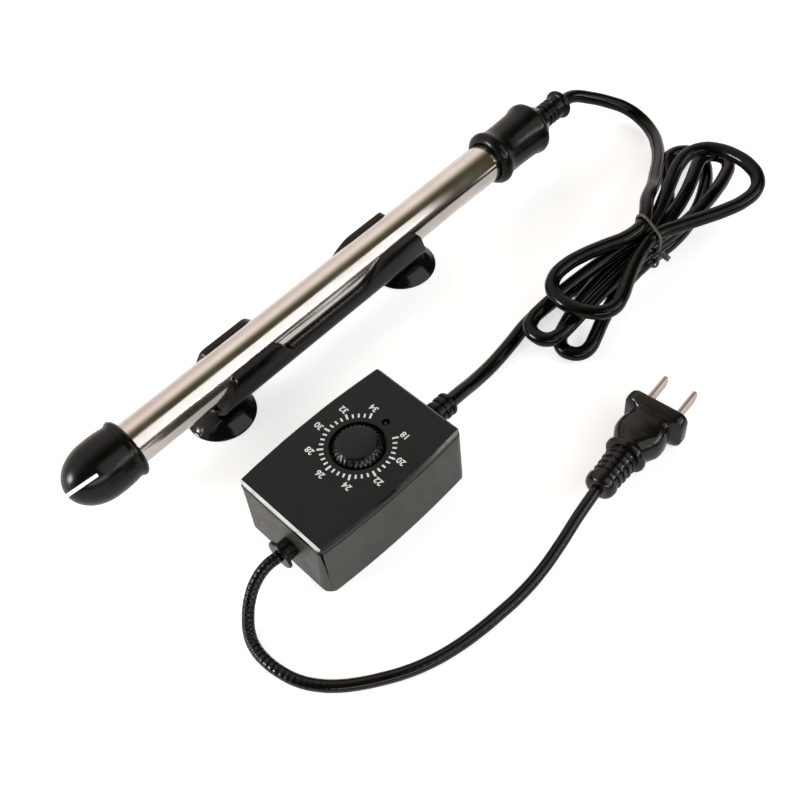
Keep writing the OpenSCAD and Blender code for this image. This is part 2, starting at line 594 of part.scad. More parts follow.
// The plug lies flat; its own +X points out of its face, turned a little from the part's +X
plug_pos = [33.5, -95.3, 8.5];
plug_yaw = 4.5;
plug_l = 42.5;
relief_l = 17.5;
blade_w = 6.35;
blade_t = 1.5;
blade_l = 16;
blade_pitch = 12.7;
module in_plug() { translate(plug_pos) rotate([0, 0, plug_yaw]) children(); }
plug_way = [cos(plug_yaw), sin(plug_yaw), 0];
mains_route = [
    box_point(mains_lead_x, mains_gland_y, gland_h), [-111.7, -32.9, 13.3], [-117.5, -33.2, 10.8],
    [-122.9, -35, 7.2], [-127.4, -38.3, 4.3], [-131, -42.8, 2.7], [-133, -47.9, mains_rest_h],
    [-133.7, -54.4, mains_rest_h], [-133, -61.4, mains_rest_h], [-131, -68.4, mains_rest_h],
    [-127.5, -74.6, mains_rest_h], [-123, -79.9, mains_rest_h], [-117.7, -84.5, mains_rest_h],
    [-111.5, -88.9, mains_rest_h], [-104.4, -93.2, mains_rest_h], [-96.6, -96.7, mains_rest_h],
    [-88, -99.4, mains_rest_h], [-78, -101.4, mains_rest_h], [-67.6, -102.6, mains_rest_h],
    [-57, -103.4, 2.7], [-46, -103.4, 4], [-34, -102.3, 6.2], [-21.5, -100.4, 8],
    plug_pos - plug_l * plug_way
];
module mains_lead() {
    color([0.06, 0.06, 0.06]) tube_along(mains_route, mains_r, 8, -box_way, plug_way);
}

// Two flat upright pins, their roots moulded into the body
module blades(grow) {
    root = 9;
    half = blade_w / 2 + grow;
    for (y = [-1, 1]) translate([-root - grow, y * blade_pitch / 2, 0]) rotate([90, 0, 0])
        linear_extrude(blade_t + 2 * grow, center = true)
        polygon([[0, -half], [root + blade_l - 1.5, -half], [root + blade_l, 1.5 - half],
            [root + blade_l, half - 1.5], [root + blade_l - 1.5, half], [0, half]]);
}
module plug_blades() {
    color("silver") in_plug() blades(0);
}
// One section of the plug, l wide and h high, standing at the distance s behind its face
module plug_section(s, w, h, r, t = 0.1) {
    translate([-s - t, 0, 0]) rotate([90, 0, 90]) linear_extrude(t) round_rect(w, h, r, $fn = 32);
}
module plug_body() {
    back = plug_l - relief_l;
    dish_r = 8.5;
    dish_z = 14.8;
    color([0.07, 0.07, 0.07]) in_plug() difference() {
        union() {
            hull() {
                plug_section(0, 23, 14.8, 3.4);
                plug_section(1, 25, 16.4, 4.2);
            }
            plug_section(1, 25, 16.4, 4.2, 3.4);
            hull() {
                plug_section(4.3, 25, 16.4, 4.2);
                plug_section(6.2, 17.2, 12.8, 4.4);
            }
            hull() {
                plug_section(6.2, 17.2, 12.8, 4.4);
                plug_section(10.5, 19.6, 13.8, 5.6);
            }
            plug_section(10.5, 19.6, 13.8, 5.6, 5.6);
            hull() {
                plug_section(16, 19.6, 13.8, 5.6);
                plug_section(21.6, 14.2, 13.8, 6.8);
            }
            translate([-back, 0, 0]) rotate([0, 90, 0]) rotate_extrude()
                polygon(concat([[0, 0]], arc([6.6, 1.75], 1.7, -75, 75, 6), [[6.6, 4], [0, 4]]));
        }
        blades(0.05);
        for (z = [-1, 1]) translate([-12.6, 0, z * dish_z]) rotate([90, 0, 0])
            cylinder(h = 30, r = dish_r, center = true);
    }
}
// Tapered tail of the plug with narrow ribs, and a round ring where the lead comes out
module plug_strain_relief() {
    ribs = 4;
    pitch = 2.8;
    first = 1.2;
    function low_r(i) = 5.9 - 0.19 * i;
    function rib_r(i) = 6.45 - 0.165 * i;
    outline = concat([[0, 0], [low_r(0), 0]], [for (i = [0:ribs - 1]) let (z = first + i * pitch) each
        [[low_r(i), z], [rib_r(i), z + 0.35], [rib_r(i), z + 0.85], [low_r(i + 1), z + 1.2]]],
        [[low_r(ribs), relief_l - 5.1], [6, relief_l - 4.4], [6.1, relief_l - 3.1], [5.7, relief_l - 1.4],
        [4.6, relief_l - 0.2], [3.8, relief_l], [0, relief_l]]);
    color([0.07, 0.07, 0.07]) in_plug() translate([-(plug_l - relief_l), 0, 0]) rotate([0, -90, 0])
        rotate_extrude() polygon(outline);
}

// ---- measures, in millimetres ----
function between(p, n) = [for (i = [0:len(p) - 2], k = [0:n - 1]) p[i] + (p[i + 1] - p[i]) * k / n];
function lengths(p) = [for (i = [1:len(p) - 1]) norm(p[i] - p[i - 1])];
function total(v) = v * [for (x = v) 1];
function run_sums(v) = [for (i = 0, s = 0; i <= len(v); s = s + (i < len(v) ? v[i] : 0), i = i + 1) s];
// Least clear distance between stretches of the strand that lie more than three diameters apart along it
function least_gap(p, d) =
    let (s = run_sums(lengths(p)))
    min([for (i = [0:len(p) - 2], j = [i + 1:len(p) - 1]) if (s[j] - s[i] > 3 * d) norm(p[i] - p[j])]) - d;
echo(hank_gap = least_gap(between(hank_route, 3), lead_d));
echo(hank_length = total(lengths(hank_route)), lead_length = total(lengths(heater_lead_route)),
    box_lead_length = total(lengths(box_lead_route)), mains_length = total(lengths(mains_route)));

// ---- drawing ----
steel_sheath();
bottom_cap();
top_cap();
cord_gland();
ceramic_core();
resistance_wire();
core_spacers();
inner_leads();
thermal_cutout();
temperature_sensor();
tube_seal();
clip_holder();
lower_suction_cup();
upper_suction_cup();
box_base();
box_cover();
temperature_dial();
dial_shaft();
potentiometer();
circuit_board();
power_relay();
dropper_capacitor();
control_chip();
line_fuse();
indicator_led();
case_screws();
heater_lead_gland();
mains_lead_gland();
heater_lead();
lead_hank();
hank_tie();
box_lead();
mains_lead();
plug_strain_relief();
plug_body();
plug_blades();
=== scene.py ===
import json
from math import atan2, cos, exp, hypot, pi, radians, sin, sqrt, tan

import bmesh
import bpy
from mathutils import Matrix, Vector

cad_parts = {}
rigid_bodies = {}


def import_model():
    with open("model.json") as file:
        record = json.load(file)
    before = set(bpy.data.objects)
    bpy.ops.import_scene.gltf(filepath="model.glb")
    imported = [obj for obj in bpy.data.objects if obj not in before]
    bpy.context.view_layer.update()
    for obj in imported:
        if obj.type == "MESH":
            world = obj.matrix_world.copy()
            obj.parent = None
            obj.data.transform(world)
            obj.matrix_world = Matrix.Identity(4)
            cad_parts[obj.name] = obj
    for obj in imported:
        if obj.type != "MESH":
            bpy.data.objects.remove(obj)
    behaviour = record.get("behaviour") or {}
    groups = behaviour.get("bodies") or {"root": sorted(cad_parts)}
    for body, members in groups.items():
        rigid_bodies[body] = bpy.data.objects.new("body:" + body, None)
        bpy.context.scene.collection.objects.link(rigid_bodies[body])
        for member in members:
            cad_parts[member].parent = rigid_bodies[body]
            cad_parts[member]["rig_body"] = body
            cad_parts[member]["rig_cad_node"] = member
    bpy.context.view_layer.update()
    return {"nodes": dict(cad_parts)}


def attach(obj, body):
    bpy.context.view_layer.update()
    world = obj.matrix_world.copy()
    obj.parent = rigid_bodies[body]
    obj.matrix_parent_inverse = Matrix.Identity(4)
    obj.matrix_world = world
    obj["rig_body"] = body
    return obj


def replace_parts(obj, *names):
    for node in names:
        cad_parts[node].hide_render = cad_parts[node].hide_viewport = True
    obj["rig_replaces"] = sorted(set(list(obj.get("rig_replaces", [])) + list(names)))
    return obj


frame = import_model()
nodes = frame["nodes"]
mm = 0.001
print("frame loaded:", len(nodes), "solids")


camera = {
    "place": (-197.46, -222.63, 358.60),
    "right": (0.69121, -0.71752, -0.08611),
    "back": (-0.38888, -0.46970, 0.79256),
    "lens": 50.58,
    "sensor": 36.0,
    "clipEnd": 20,
}


def setCamera(c):
    back = Vector(c["back"]).normalized()
    right = Vector(c["right"])
    right = (right - right.dot(back) * back).normalized()
    up = back.cross(right)
    data = bpy.data.cameras.new("camera")
    data.lens, data.sensor_width, data.clip_end = c["lens"], c["sensor"], c["clipEnd"]
    shot = bpy.data.objects.new("camera", data)
    turn = Matrix((right, up, back)).transposed().to_4x4()
    shot.matrix_world = Matrix.Translation(Vector(c["place"]) * mm) @ turn
    bpy.context.scene.collection.objects.link(shot)
    bpy.context.scene.camera = shot
    bpy.context.scene.view_settings.view_transform = "Standard"


setCamera(camera)


# picking a piece, and handing it over finished
def clearSelection():
    if bpy.context.mode != "OBJECT":
        bpy.ops.object.mode_set(mode="OBJECT")
    bpy.ops.object.select_all(action="DESELECT")


def pick(piece):
    clearSelection()
    piece.select_set(True)
    bpy.context.view_layer.objects.active = piece


def applyAll(piece):
    pick(piece)
    for modifier in list(piece.modifiers):
        bpy.ops.object.modifier_apply(modifier=modifier.name)


def settle(piece, name, body, stands=(), material=None, smooth=35):
    pick(piece)
    bpy.ops.object.transform_apply(location=True, rotation=True, scale=True)
    piece.name = piece.data.name = name
    if smooth and piece.type == "MESH":
        bpy.ops.object.shade_smooth_by_angle(angle=radians(smooth))
    if material:
        piece.data.materials.clear()
        piece.data.materials.append(material)
    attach(piece, body)
    if stands:
        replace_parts(piece, *stands)
    return piece


# materials: colours are written in sRGB, patterns are sized in millimetres
def linear(hexText):
    def one(v):
        return v / 12.92 if v <= 0.04045 else ((v + 0.055) / 1.055) ** 2.4
    return tuple(one(int(hexText[i:i + 2], 16) / 255) for i in (1, 3, 5)) + (1.0,)


def addNode(tree, kind, inputs=None, **settings):
    node = tree.nodes.new("ShaderNode" + kind)
    for key, value in settings.items():
        setattr(node, key, value)
    for socket, value in (inputs or {}).items():
        if isinstance(value, bpy.types.NodeSocket):
            tree.links.new(value, node.inputs[socket])
        else:
            node.inputs[socket].default_value = value
    return node


def newMaterial(name, colour, roughness, metallic=0.0, ior=1.5, gloss=0.5):
    material = bpy.data.materials.new(name)
    material.use_nodes = True
    tree = material.node_tree
    shader = tree.nodes["Principled BSDF"]
    shader.inputs["Base Color"].default_value = linear(colour)
    shader.inputs["Roughness"].default_value = roughness
    shader.inputs["Metallic"].default_value = metallic
    shader.inputs["IOR"].default_value = ior
    shader.inputs["Specular IOR Level"].default_value = gloss
    material.diffuse_color = linear(colour)
    return material, tree, shader


def mottle(tree, coords, size, low, high):
    # soft patches of this size, spread between the two values
    noise = addNode(tree, "TexNoise", {"Vector": coords, "Scale": 1 / (size * mm), "Detail": 4.0})
    spread = addNode(tree, "MapRange", {"Value": noise.outputs["Fac"], "From Min": 0.3, "From Max": 0.7,
                                        "To Min": low, "To Max": high})
    return spread.outputs["Result"]


def moulded(name, colour, deep, roughness, grain, depth, ior=1.5, gloss=0.5, scuff=0.06, patch=14):
    # a moulded surface: two close tones in patches, handling marks in the gloss, and a fine grain
    material, tree, shader = newMaterial(name, colour, roughness, ior=ior, gloss=gloss)
    coords = addNode(tree, "TexCoord").outputs["Object"]
    tone = mottle(tree, coords, patch, 0.0, 1.0)
    mix = addNode(tree, "Mix", {"Factor": tone}, data_type="RGBA")
    mix.inputs[6].default_value, mix.inputs[7].default_value = linear(colour), linear(deep)
    tree.links.new(mix.outputs[2], shader.inputs["Base Color"])
    handled = mottle(tree, coords, patch / 3, roughness - scuff, roughness + scuff)
    tree.links.new(handled, shader.inputs["Roughness"])
    pits = addNode(tree, "TexNoise", {"Vector": coords, "Scale": 1 / (grain * mm), "Detail": 3.0})
    bump = addNode(tree, "Bump", {"Height": pits.outputs["Fac"], "Distance": depth * mm, "Strength": 1.0})
    tree.links.new(bump.outputs["Normal"], shader.inputs["Normal"])
    return material


def rippled(material, r):
    # adds a fine ripple along a lead, strongest at its first end
    tree = material.node_tree
    along = addNode(tree, "SeparateXYZ", {0: addNode(tree, "TexCoord").outputs["UV"]}).outputs["X"]
    angle = addNode(tree, "Math", {0: along, 1: r["waves"] * 2 * pi}, operation="MULTIPLY")
    wave = addNode(tree, "Math", {0: angle.outputs[0]}, operation="SINE")
    share = addNode(tree, "MapRange", {"Value": along, "From Min": r["fadeFrom"], "From Max": r["fadeTo"],
                                       "To Min": 1.0, "To Max": r["left"]})
    level = addNode(tree, "Math", {0: wave.outputs[0], 1: share.outputs["Result"]}, operation="MULTIPLY")
    old = next(node for node in tree.nodes if node.type == "BUMP")
    bump = addNode(tree, "Bump", {"Height": level.outputs[0], "Distance": r["height"] * mm,
                                  "Normal": old.outputs["Normal"]})
    tree.links.new(bump.outputs["Normal"], tree.nodes["Principled BSDF"].inputs["Normal"])
    return material


# shaping, in millimetres: the ring that stands for a pole, and how close points lie that are welded
tiny = {"pole": 0.002, "weld": 0.006, "solidWeld": 0.002}


def editMesh(kind, action):
    bpy.ops.object.mode_set(mode="EDIT")
    bpy.ops.mesh.select_mode(type=kind)
    bpy.ops.mesh.select_all(action=action)


def turned(name, base, axis, stations, sides=72):
    # a ring of the first radius, extruded along its axis and scaled from station to station
    clearSelection()
    base, way = Vector(base), Vector(axis).normalized()
    s, r = stations[0]
    bpy.ops.mesh.primitive_circle_add(vertices=sides, radius=max(r, tiny["pole"]) * mm,
                                      location=(base + way * s) * mm,
                                      rotation=way.to_track_quat("Z", "Y").to_euler())
    piece = bpy.context.object
    piece.name = name
    editMesh("VERT", "SELECT")
    for (s0, r0), (s1, r1) in zip(stations, stations[1:]):
        bpy.ops.mesh.extrude_region_move(TRANSFORM_OT_translate={"value": way * (s1 - s0) * mm})
        scale = max(r1, tiny["pole"]) / max(r0, tiny["pole"])
        bpy.ops.transform.resize(value=(scale, scale, scale), center_override=(base + way * s1) * mm)
    closeUp()
    return piece


def closeUp():
    # in edit mode: welds points closer than the weld, and turns the faces outwards
    bpy.ops.mesh.select_all(action="SELECT")
    bpy.ops.mesh.remove_doubles(threshold=tiny["weld"] * mm)
    bpy.ops.mesh.delete_loose(use_verts=True, use_edges=True, use_faces=False)
    bpy.ops.mesh.select_all(action="SELECT")
    bpy.ops.mesh.normals_make_consistent(inside=False)
    bpy.ops.object.mode_set(mode="OBJECT")


def edged(piece, width, segments=2, angle=32):
    pick(piece)
    soften = piece.modifiers.new("edges", "BEVEL")
    soften.width, soften.segments = width * mm, segments
    soften.limit_method, soften.angle_limit = "ANGLE", radians(angle)
    soften.harden_normals = False
    applyAll(piece)


def cut(piece, cutter):
    pick(piece)
    groove = piece.modifiers.new("cut", "BOOLEAN")
    groove.operation, groove.object, groove.solver = "DIFFERENCE", cutter, "EXACT"
    bpy.ops.object.modifier_apply(modifier=groove.name)
    bpy.data.objects.remove(cutter)


def arcStations(s, r, radius, start, stop, steps):
    angles = [radians(start + (stop - start) * i / steps) for i in range(steps + 1)]
    return [(s + radius * sin(a), r + radius * cos(a)) for a in angles]


def copyOfSolid(node, width, segments=2):
    # a merged copy of a carried solid, with its edges softened
    pick(nodes[node])
    bpy.ops.object.duplicate()
    piece = bpy.context.object
    piece.parent = None
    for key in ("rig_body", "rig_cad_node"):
        if key in piece:
            del piece[key]
    editMesh("VERT", "SELECT")
    bpy.ops.mesh.remove_doubles(threshold=tiny["solidWeld"] * mm)
    bpy.ops.mesh.customdata_custom_splitnormals_clear()
    bpy.ops.mesh.dissolve_limited(angle_limit=radians(0.5))
    bpy.ops.object.mode_set(mode="OBJECT")
    if width:
        edged(piece, width, segments, angle=40)
    return piece


def evenShading(piece, weight=90):
    # large flat faces keep their own normal beside the small softened edges
    pick(piece)
    even = piece.modifiers.new("shading", "WEIGHTED_NORMAL")
    even.keep_sharp, even.weight = True, weight
    applyAll(piece)


def roundChosen(piece, width, segments, chosen):
    # rounds the edges that chosen names by their two ends and the normals of their two faces
    pick(piece)
    editMesh("EDGE", "DESELECT")
    mesh = bmesh.from_edit_mesh(piece.data)
    for edge in mesh.edges:
        if len(edge.link_faces) == 2:
            ends = [v.co / mm for v in edge.verts]
            edge.select = chosen(ends, [face.normal for face in edge.link_faces])
    bmesh.update_edit_mesh(piece.data)
    bpy.ops.mesh.bevel(offset=width * mm, segments=segments, affect="EDGES")
    bpy.ops.object.mode_set(mode="OBJECT")


# the two leads: where each one runs, in millimetres
lead = {
    "diameter": 6.0,
    "toHank": [
        (143, 40.75, 21), (150, 39.9, 20), (157.6, 35.6, 16.6), (164.7, 29.6, 12.6), (169.5, 22.6, 9.2),
        (170.6, 14.9, 6.3), (167.6, 6.4, 5), (158.9, -2.9, 7.2), (147.5, -11.5, 10.6), (137.4, -17.4, 13.6),
        (127.8, -22.7, 16.6), (119.6, -26.6, 20.2), (112.2, -30.1, 22.8),
    ],
    "toBox": [
        (86.5, -35.6, 4), (79, -32.6, 3.3), (71, -29.1, 3.1), (62, -26.4, 3.1), (52.5, -24.9, 3.1),
        (40, -24.9, 3.1), (26, -26.9, 3.1), (12.8, -28.6, 3.7), (1.2, -30.2, 6.4), (-8.2, -32.1, 10.6),
        (-16.746, -33.714, 14),
    ],
}
hank = {
    "centre": (98.2, -41.3, 0),
    "yaw": radians(-7),
    "column": 3.0,
    "step": 3.3,
    "waist": 4.6,
    "layIn": 0.68,
    "rings": 16,
    # how soon the lay-in fades, how a loop widens, and how late it comes down to its far end
    "fade": 11,
    "widening": 1.4,
    "settling": 2.2,
    # reach, half width, angle in degrees and height of the far end
    "halfTurns": [
        (51.3, 21.7, 8.5, 20.6), (55.5, 29, -2.7, 27), (66.6, 7, 3.1, 11.4),
        (65.4, 6.5, -16.2, 11.3), (58.7, 6.6, 14.5, 4.6), (63.7, 9.9, -29.7, 4),
    ],
}


def hankPlace(h, u, v, z):
    x, y, base = h["centre"]
    return (x + u * cos(h["yaw"]) + v * sin(h["yaw"]), y + u * sin(h["yaw"]) - v * cos(h["yaw"]), base + z)


def passHeights(h):
    turns = len(h["halfTurns"])
    return [h["waist"] + (turns - i) * h["step"] for i in range(turns + 1)]


def hankRoute(h, diameter):
    turns = len(h["halfTurns"])
    passV = [-h["column"] if i % 2 == 0 else h["column"] for i in range(turns + 1)]
    passZ = passHeights(h)
    lean = hypot(1, h["layIn"])
    route = [hankPlace(h, diameter / lean, passV[0] - diameter * h["layIn"] / lean, passZ[0])]
    for i, (reach, wide, angle, endHeight) in enumerate(h["halfTurns"]):
        way = -1 if i % 2 == 0 else 1
        v0, v1, z0, z1 = passV[i], passV[i + 1], passZ[i], passZ[i + 1]
        for k in range(h["rings"]):
            t = pi * k / h["rings"]
            x, back = sin(t), cos(t)
            along = reach * x
            side = (back > 0) - (back < 0) if abs(back) > 1e-9 else 0
            narrowing = sqrt(max(0, 1 - x ** (2 * reach / wide)))
            off = (v0 - v1) / 2 * back + way * side * wide * x ** h["widening"] * narrowing
            swing = h["layIn"] * along * exp(-along / h["fade"]) if i == 0 and back > 0 else 0
            leaning = tan(radians(angle))
            sweep = atan2(2 * x * leaning, 1) * x
            u = way * (along - off * sin(sweep))
            v = (v0 + v1) / 2 + along * x * leaning + off * cos(sweep) + swing
            rest = (z0 + z1) / 2 + (z0 - z1) / 2 * back
            route.append(hankPlace(h, u, v, rest + (endHeight - rest) * x ** h["settling"]))
    route.append(hankPlace(h, 0, passV[-1], passZ[-1]))
    route.append(hankPlace(h, -diameter, passV[-1], passZ[-1]))
    return route


def strandAlong(name, points, diameter, sides=5, between=5):
    data = bpy.data.curves.new(name, "CURVE")
    data.dimensions = "3D"
    data.bevel_depth = diameter / 2 * mm
    data.bevel_resolution = sides
    data.resolution_u = between
    data.use_fill_caps = True
    data.twist_mode = "MINIMUM"
    strand = data.splines.new("BEZIER")
    strand.bezier_points.add(len(points) - 1)
    for knot, point in zip(strand.bezier_points, points):
        knot.co = Vector(point) * mm
        knot.handle_left_type = knot.handle_right_type = "AUTO"
    piece = bpy.data.objects.new(name, data)
    bpy.context.scene.collection.objects.link(piece)
    return piece


def routeLength(points):
    return sum((Vector(b) - Vector(a)).length for a, b in zip(points, points[1:])) * mm


leadRoute = lead["toHank"] + hankRoute(hank, lead["diameter"]) + lead["toBox"]
# extruded soft PVC: deep black, glossy, with a slow waviness under the highlight
leadPvc = moulded("extrudedSoftPvc", "#020504", "#060403", 0.16, 2.4, 0.04, ior=1.53, gloss=0.2)
controllerLead = strandAlong("controllerLead", leadRoute, lead["diameter"])
controllerLead.data.materials.append(leadPvc)
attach(controllerLead, "heater_and_controller")
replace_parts(controllerLead, "heater_lead", "lead_hank", "box_lead")

mains = {
    "diameter": 4.6,
    "route": [
        (-106.216, -33.672, 14), (-111.7, -32.9, 13.3), (-117.5, -33.2, 10.8), (-122.9, -35, 7.2),
        (-127.4, -38.3, 4.3), (-131, -42.8, 2.7), (-133, -47.9, 2.4), (-133.7, -54.4, 2.4),
        (-133, -61.4, 2.4), (-131, -68.4, 2.4), (-127.5, -74.6, 2.4), (-123, -79.9, 2.4),
        (-117.7, -84.5, 2.4), (-111.5, -88.9, 2.4), (-104.4, -93.2, 2.4), (-96.6, -96.7, 2.4),
        (-88, -99.4, 2.4), (-78, -101.4, 2.4), (-67.6, -102.6, 2.4), (-57, -103.4, 2.7), (-46, -103.4, 4),
        (-34, -102.3, 6.2), (-21.5, -100.4, 8), (-8.869, -98.635, 8.5),
    ],
    # the ripple fades between two shares of the length, and some of it is left
    "ripple": {"waves": 74, "height": 0.14, "fadeFrom": 0.2, "fadeTo": 0.42, "left": 0.12},
}
mainsLead = strandAlong("mainsLead", mains["route"], mains["diameter"])
# the same PVC in a thinner lead, finely rippled near the box
mainsPvc = moulded("rippledSoftPvc", "#040404", "#0a0605", 0.18, 2.0, 0.015, ior=1.53, gloss=0.3)
mainsLead.data.materials.append(rippled(mainsPvc, mains["ripple"]))
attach(mainsLead, "heater_and_controller")
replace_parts(mainsLead, "mains_lead")
print("cords laid: lead", round(routeLength(leadRoute), 3), "m")
print("mains lead", round(routeLength(mains["route"]), 3), "m")

# the lines' stretch along the draw, the patches' sizes, the change in gloss and the lines' depth
drawn = {"stretch": 0.02, "smearPatch": 22, "brighter": 0.03, "duller": 0.07, "tonePatch": 16, "depth": 0.002}


def drawnMetal(name, colour, deep, roughness, line=0.35, streak=0.08):
    # drawn and polished metal: mirror-like across, with faint lines along the draw
    material, tree, shader = newMaterial(name, colour, roughness, metallic=1.0)
    coords = addNode(tree, "TexCoord").outputs["Object"]
    along = addNode(tree, "Mapping", {"Vector": coords, "Scale": (drawn["stretch"], 1, 1)})
    lines = addNode(tree, "TexNoise", {"Vector": along.outputs[0], "Scale": 1 / (line * mm), "Detail": 3.0})
    brighter, duller = roughness - drawn["brighter"], roughness + drawn["duller"]
    smear = mottle(tree, coords, drawn["smearPatch"], brighter, duller)
    grain = addNode(tree, "Math", {0: lines.outputs["Fac"], 1: streak, 2: smear}, operation="MULTIPLY_ADD")
    tree.links.new(grain.outputs[0], shader.inputs["Roughness"])
    tone = mottle(tree, coords, drawn["tonePatch"], 0.0, 1.0)
    mix = addNode(tree, "Mix", {"Factor": tone}, data_type="RGBA")
    mix.inputs[6].default_value, mix.inputs[7].default_value = linear(colour), linear(deep)
    tree.links.new(mix.outputs[2], shader.inputs["Base Color"])
    bump = addNode(tree, "Bump", {"Height": lines.outputs["Fac"], "Distance": drawn["depth"] * mm})
    tree.links.new(bump.outputs["Normal"], shader.inputs["Normal"])
    return material


# polished stainless steel, drawn along the tube
steel = drawnMetal("drawnStainlessSteel", "#e6e1de", "#d8cfca", 0.1, streak=0.06)
# moulded rubber of the caps and bushes: satin, nearly black
rubber = moulded("mouldedBlackRubber", "#050706", "#0b0b09", 0.24, 0.6, 0.015, ior=1.5, gloss=0.25)
# soft rubber of the cups: wet-looking gloss
cupRubber = moulded("glossySoftRubber", "#050505", "#0a0807", 0.14, 3.0, 0.03, ior=1.5, gloss=0.4)
# polypropylene of the holder: satin, from a polished tool
polypropylene = moulded("satinPolypropylene", "#060706", "#0b0b09", 0.24, 0.5, 0.01, ior=1.49, gloss=0.28)
# ABS shell with a spark-eroded grain: greyer and softer than the cover
grainedAbs = moulded("sparkGrainedAbs", "#36352e", "#2d2b25", 0.38, 0.45, 0.04, ior=1.54, gloss=0.5)
# polished ABS cover plate: like black glass, with a faint green cast
glossAbs = moulded("polishedAbs", "#04110f", "#071716", 0.16, 0.35, 0.006, ior=1.54, gloss=0.22)
dialAbs = moulded("satinDialAbs", "#081413", "#060f0e", 0.22, 0.4, 0.008, ior=1.54, gloss=0.27)
# plug moulded over its blades: glossy PVC with slight sink marks
plugPvc = moulded("mouldedPlugPvc", "#060606", "#100b08", 0.19, 2.2, 0.04, ior=1.53, gloss=0.35)
platedBrass = drawnMetal("nickelPlatedBrass", "#d8cecb", "#c4b6ae", 0.24)
# PVC-coated tie wire, dark grey and glossy
tieCoat = moulded("coatedTieWire", "#4c4a46", "#5c5a55", 0.25, 0.5, 0.01)
printInk = moulded("whitePadPrint", "#eff1ee", "#e2e5e2", 0.55, 0.3, 0.004)

heater = {
    "axisY": 40.75,
    "axisZ": 21.0,
    "lowerMouth": -113.4,
    "upperMouth": 89.6,
}
body = "heater_and_controller"
alongX = (1, 0, 0)


def onHeater(x):
    return (x, heater["axisY"], heater["axisZ"])


sheath = {
    "end": -122.4,
    "flat": 8.2,
    "corner": 0.8,
    # the open mouth, then back down the bore
    "mouth": [(225.6, 9.0), (226, 8.85), (226, 8.3), (1.2, 8.3), (1.2, 0)],
}


def makeSheath(s):
    corner = arcStations(s["corner"], s["flat"], s["corner"], -90, 0, 4)[1:]
    stations = [(0, 0), (0, s["flat"])] + corner + s["mouth"]
    return turned("sheathTube", onHeater(s["end"]), alongX, stations, 128)


settle(makeSheath(sheath), "sheathTube", body, ["steel_sheath"], steel)

noseCap = {
    "rim": [(0, 9.8), (0.1, 11.0), (0.7, 11.9), (1.5, 12.4), (2.2, 12.5), (2.7, 12.3), (3.2, 11.85),
            (4.2, 11.7), (5.8, 11.95), (8.5, 12.2), (11.5, 12.28)],
    "domeFrom": 14.0,
    "domeLength": 15.6,
    "domeRadius": 12.2,
    "wall": 3.0,
    # inside, from the dome's foot back to the mouth
    "seat": [(10.05, 9.2), (9.05, 8.0), (9.05, 9.0), (0.8, 9.0), (0, 9.8)],
    # the slit's cutter: width, depth, length, how far its lower end deepens, and how far it is set in
    "slit": {"width": 1.5, "depth": 14, "length": 30, "deepens": 9.5, "setIn": 3.6,
             "lean": 38.0, "turn": -4.5},
}


def makeNoseCap(c):
    r, z, long = c["domeRadius"], c["domeFrom"], c["domeLength"]
    outer = c["rim"] + [(z + long * sin(radians(t)), r * cos(radians(t))) for t in range(0, 91, 6)]
    inside, hollow = long - c["wall"], r - c["wall"]
    inner = [(z + inside * sin(radians(t)), hollow * cos(radians(t))) for t in range(90, -1, -10)]
    stations = outer + inner + c["seat"]
    piece = turned("noseCap", onHeater(heater["lowerMouth"]), (-1, 0, 0), stations, 96)
    slit = c["slit"]
    clearSelection()
    bpy.ops.mesh.primitive_cube_add(size=1, location=(0, 0, 0))
    cutter = bpy.context.object
    cutter.dimensions = (slit["depth"] * mm, slit["width"] * mm, slit["length"] * mm)
    bpy.ops.object.transform_apply(location=False, rotation=False, scale=True)
    editMesh("VERT", "DESELECT")
    mesh = bmesh.from_edit_mesh(cutter.data)
    for vertex in mesh.verts:
        vertex.select = vertex.co.x > 0 and vertex.co.z < 0
    mesh.select_flush_mode()
    bpy.ops.transform.translate(value=(slit["deepens"] * mm, 0, 0))
    bpy.ops.object.mode_set(mode="OBJECT")
    # leaned over, then turned a little about the nose's tip
    lean, tip = radians(slit["lean"]), Vector(onHeater(heater["lowerMouth"] - z - long)) * mm
    turn = Matrix.Rotation(radians(slit["turn"]), 3, Vector((0, -sin(lean), cos(lean))))
    cutter.location = tip + turn @ Vector((slit["setIn"] * mm, 0, 0))
    cutter.rotation_euler = (turn @ Matrix.Rotation(lean, 3, "X")).to_euler()
    cut(piece, cutter)
    edged(piece, width=0.25, angle=40)
    return piece


settle(makeNoseCap(noseCap), "noseCap", body, ["bottom_cap"], rubber)

topCap = {
    "outside": [(0, 9.7), (0.4, 10.6), (1.3, 11.7), (2.4, 12.4), (3.4, 12.5), (4.3, 12.35), (5.2, 11.9),
                (6.6, 11.3), (9, 10.95), (13, 10.9), (20, 11.05), (24.6, 11.3), (26.2, 11.75),
                (27.6, 12.2), (28.8, 12.28), (29.8, 12.0), (30.6, 11.3), (31.4, 10.4), (33.4, 8.4),
                (35.4, 7.3), (36.4, 6.6)],
    "inside": [(36.4, 4.55), (25, 4.55), (22, 7), (14.05, 7), (14.05, 9.02), (0.7, 9.02), (0, 9.7)],
}
cap = turned("topCap", onHeater(heater["upperMouth"]), alongX, topCap["outside"] + topCap["inside"], 96)
edged(cap, width=0.2, angle=40)
settle(cap, "topCap", body, ["top_cap"], rubber)

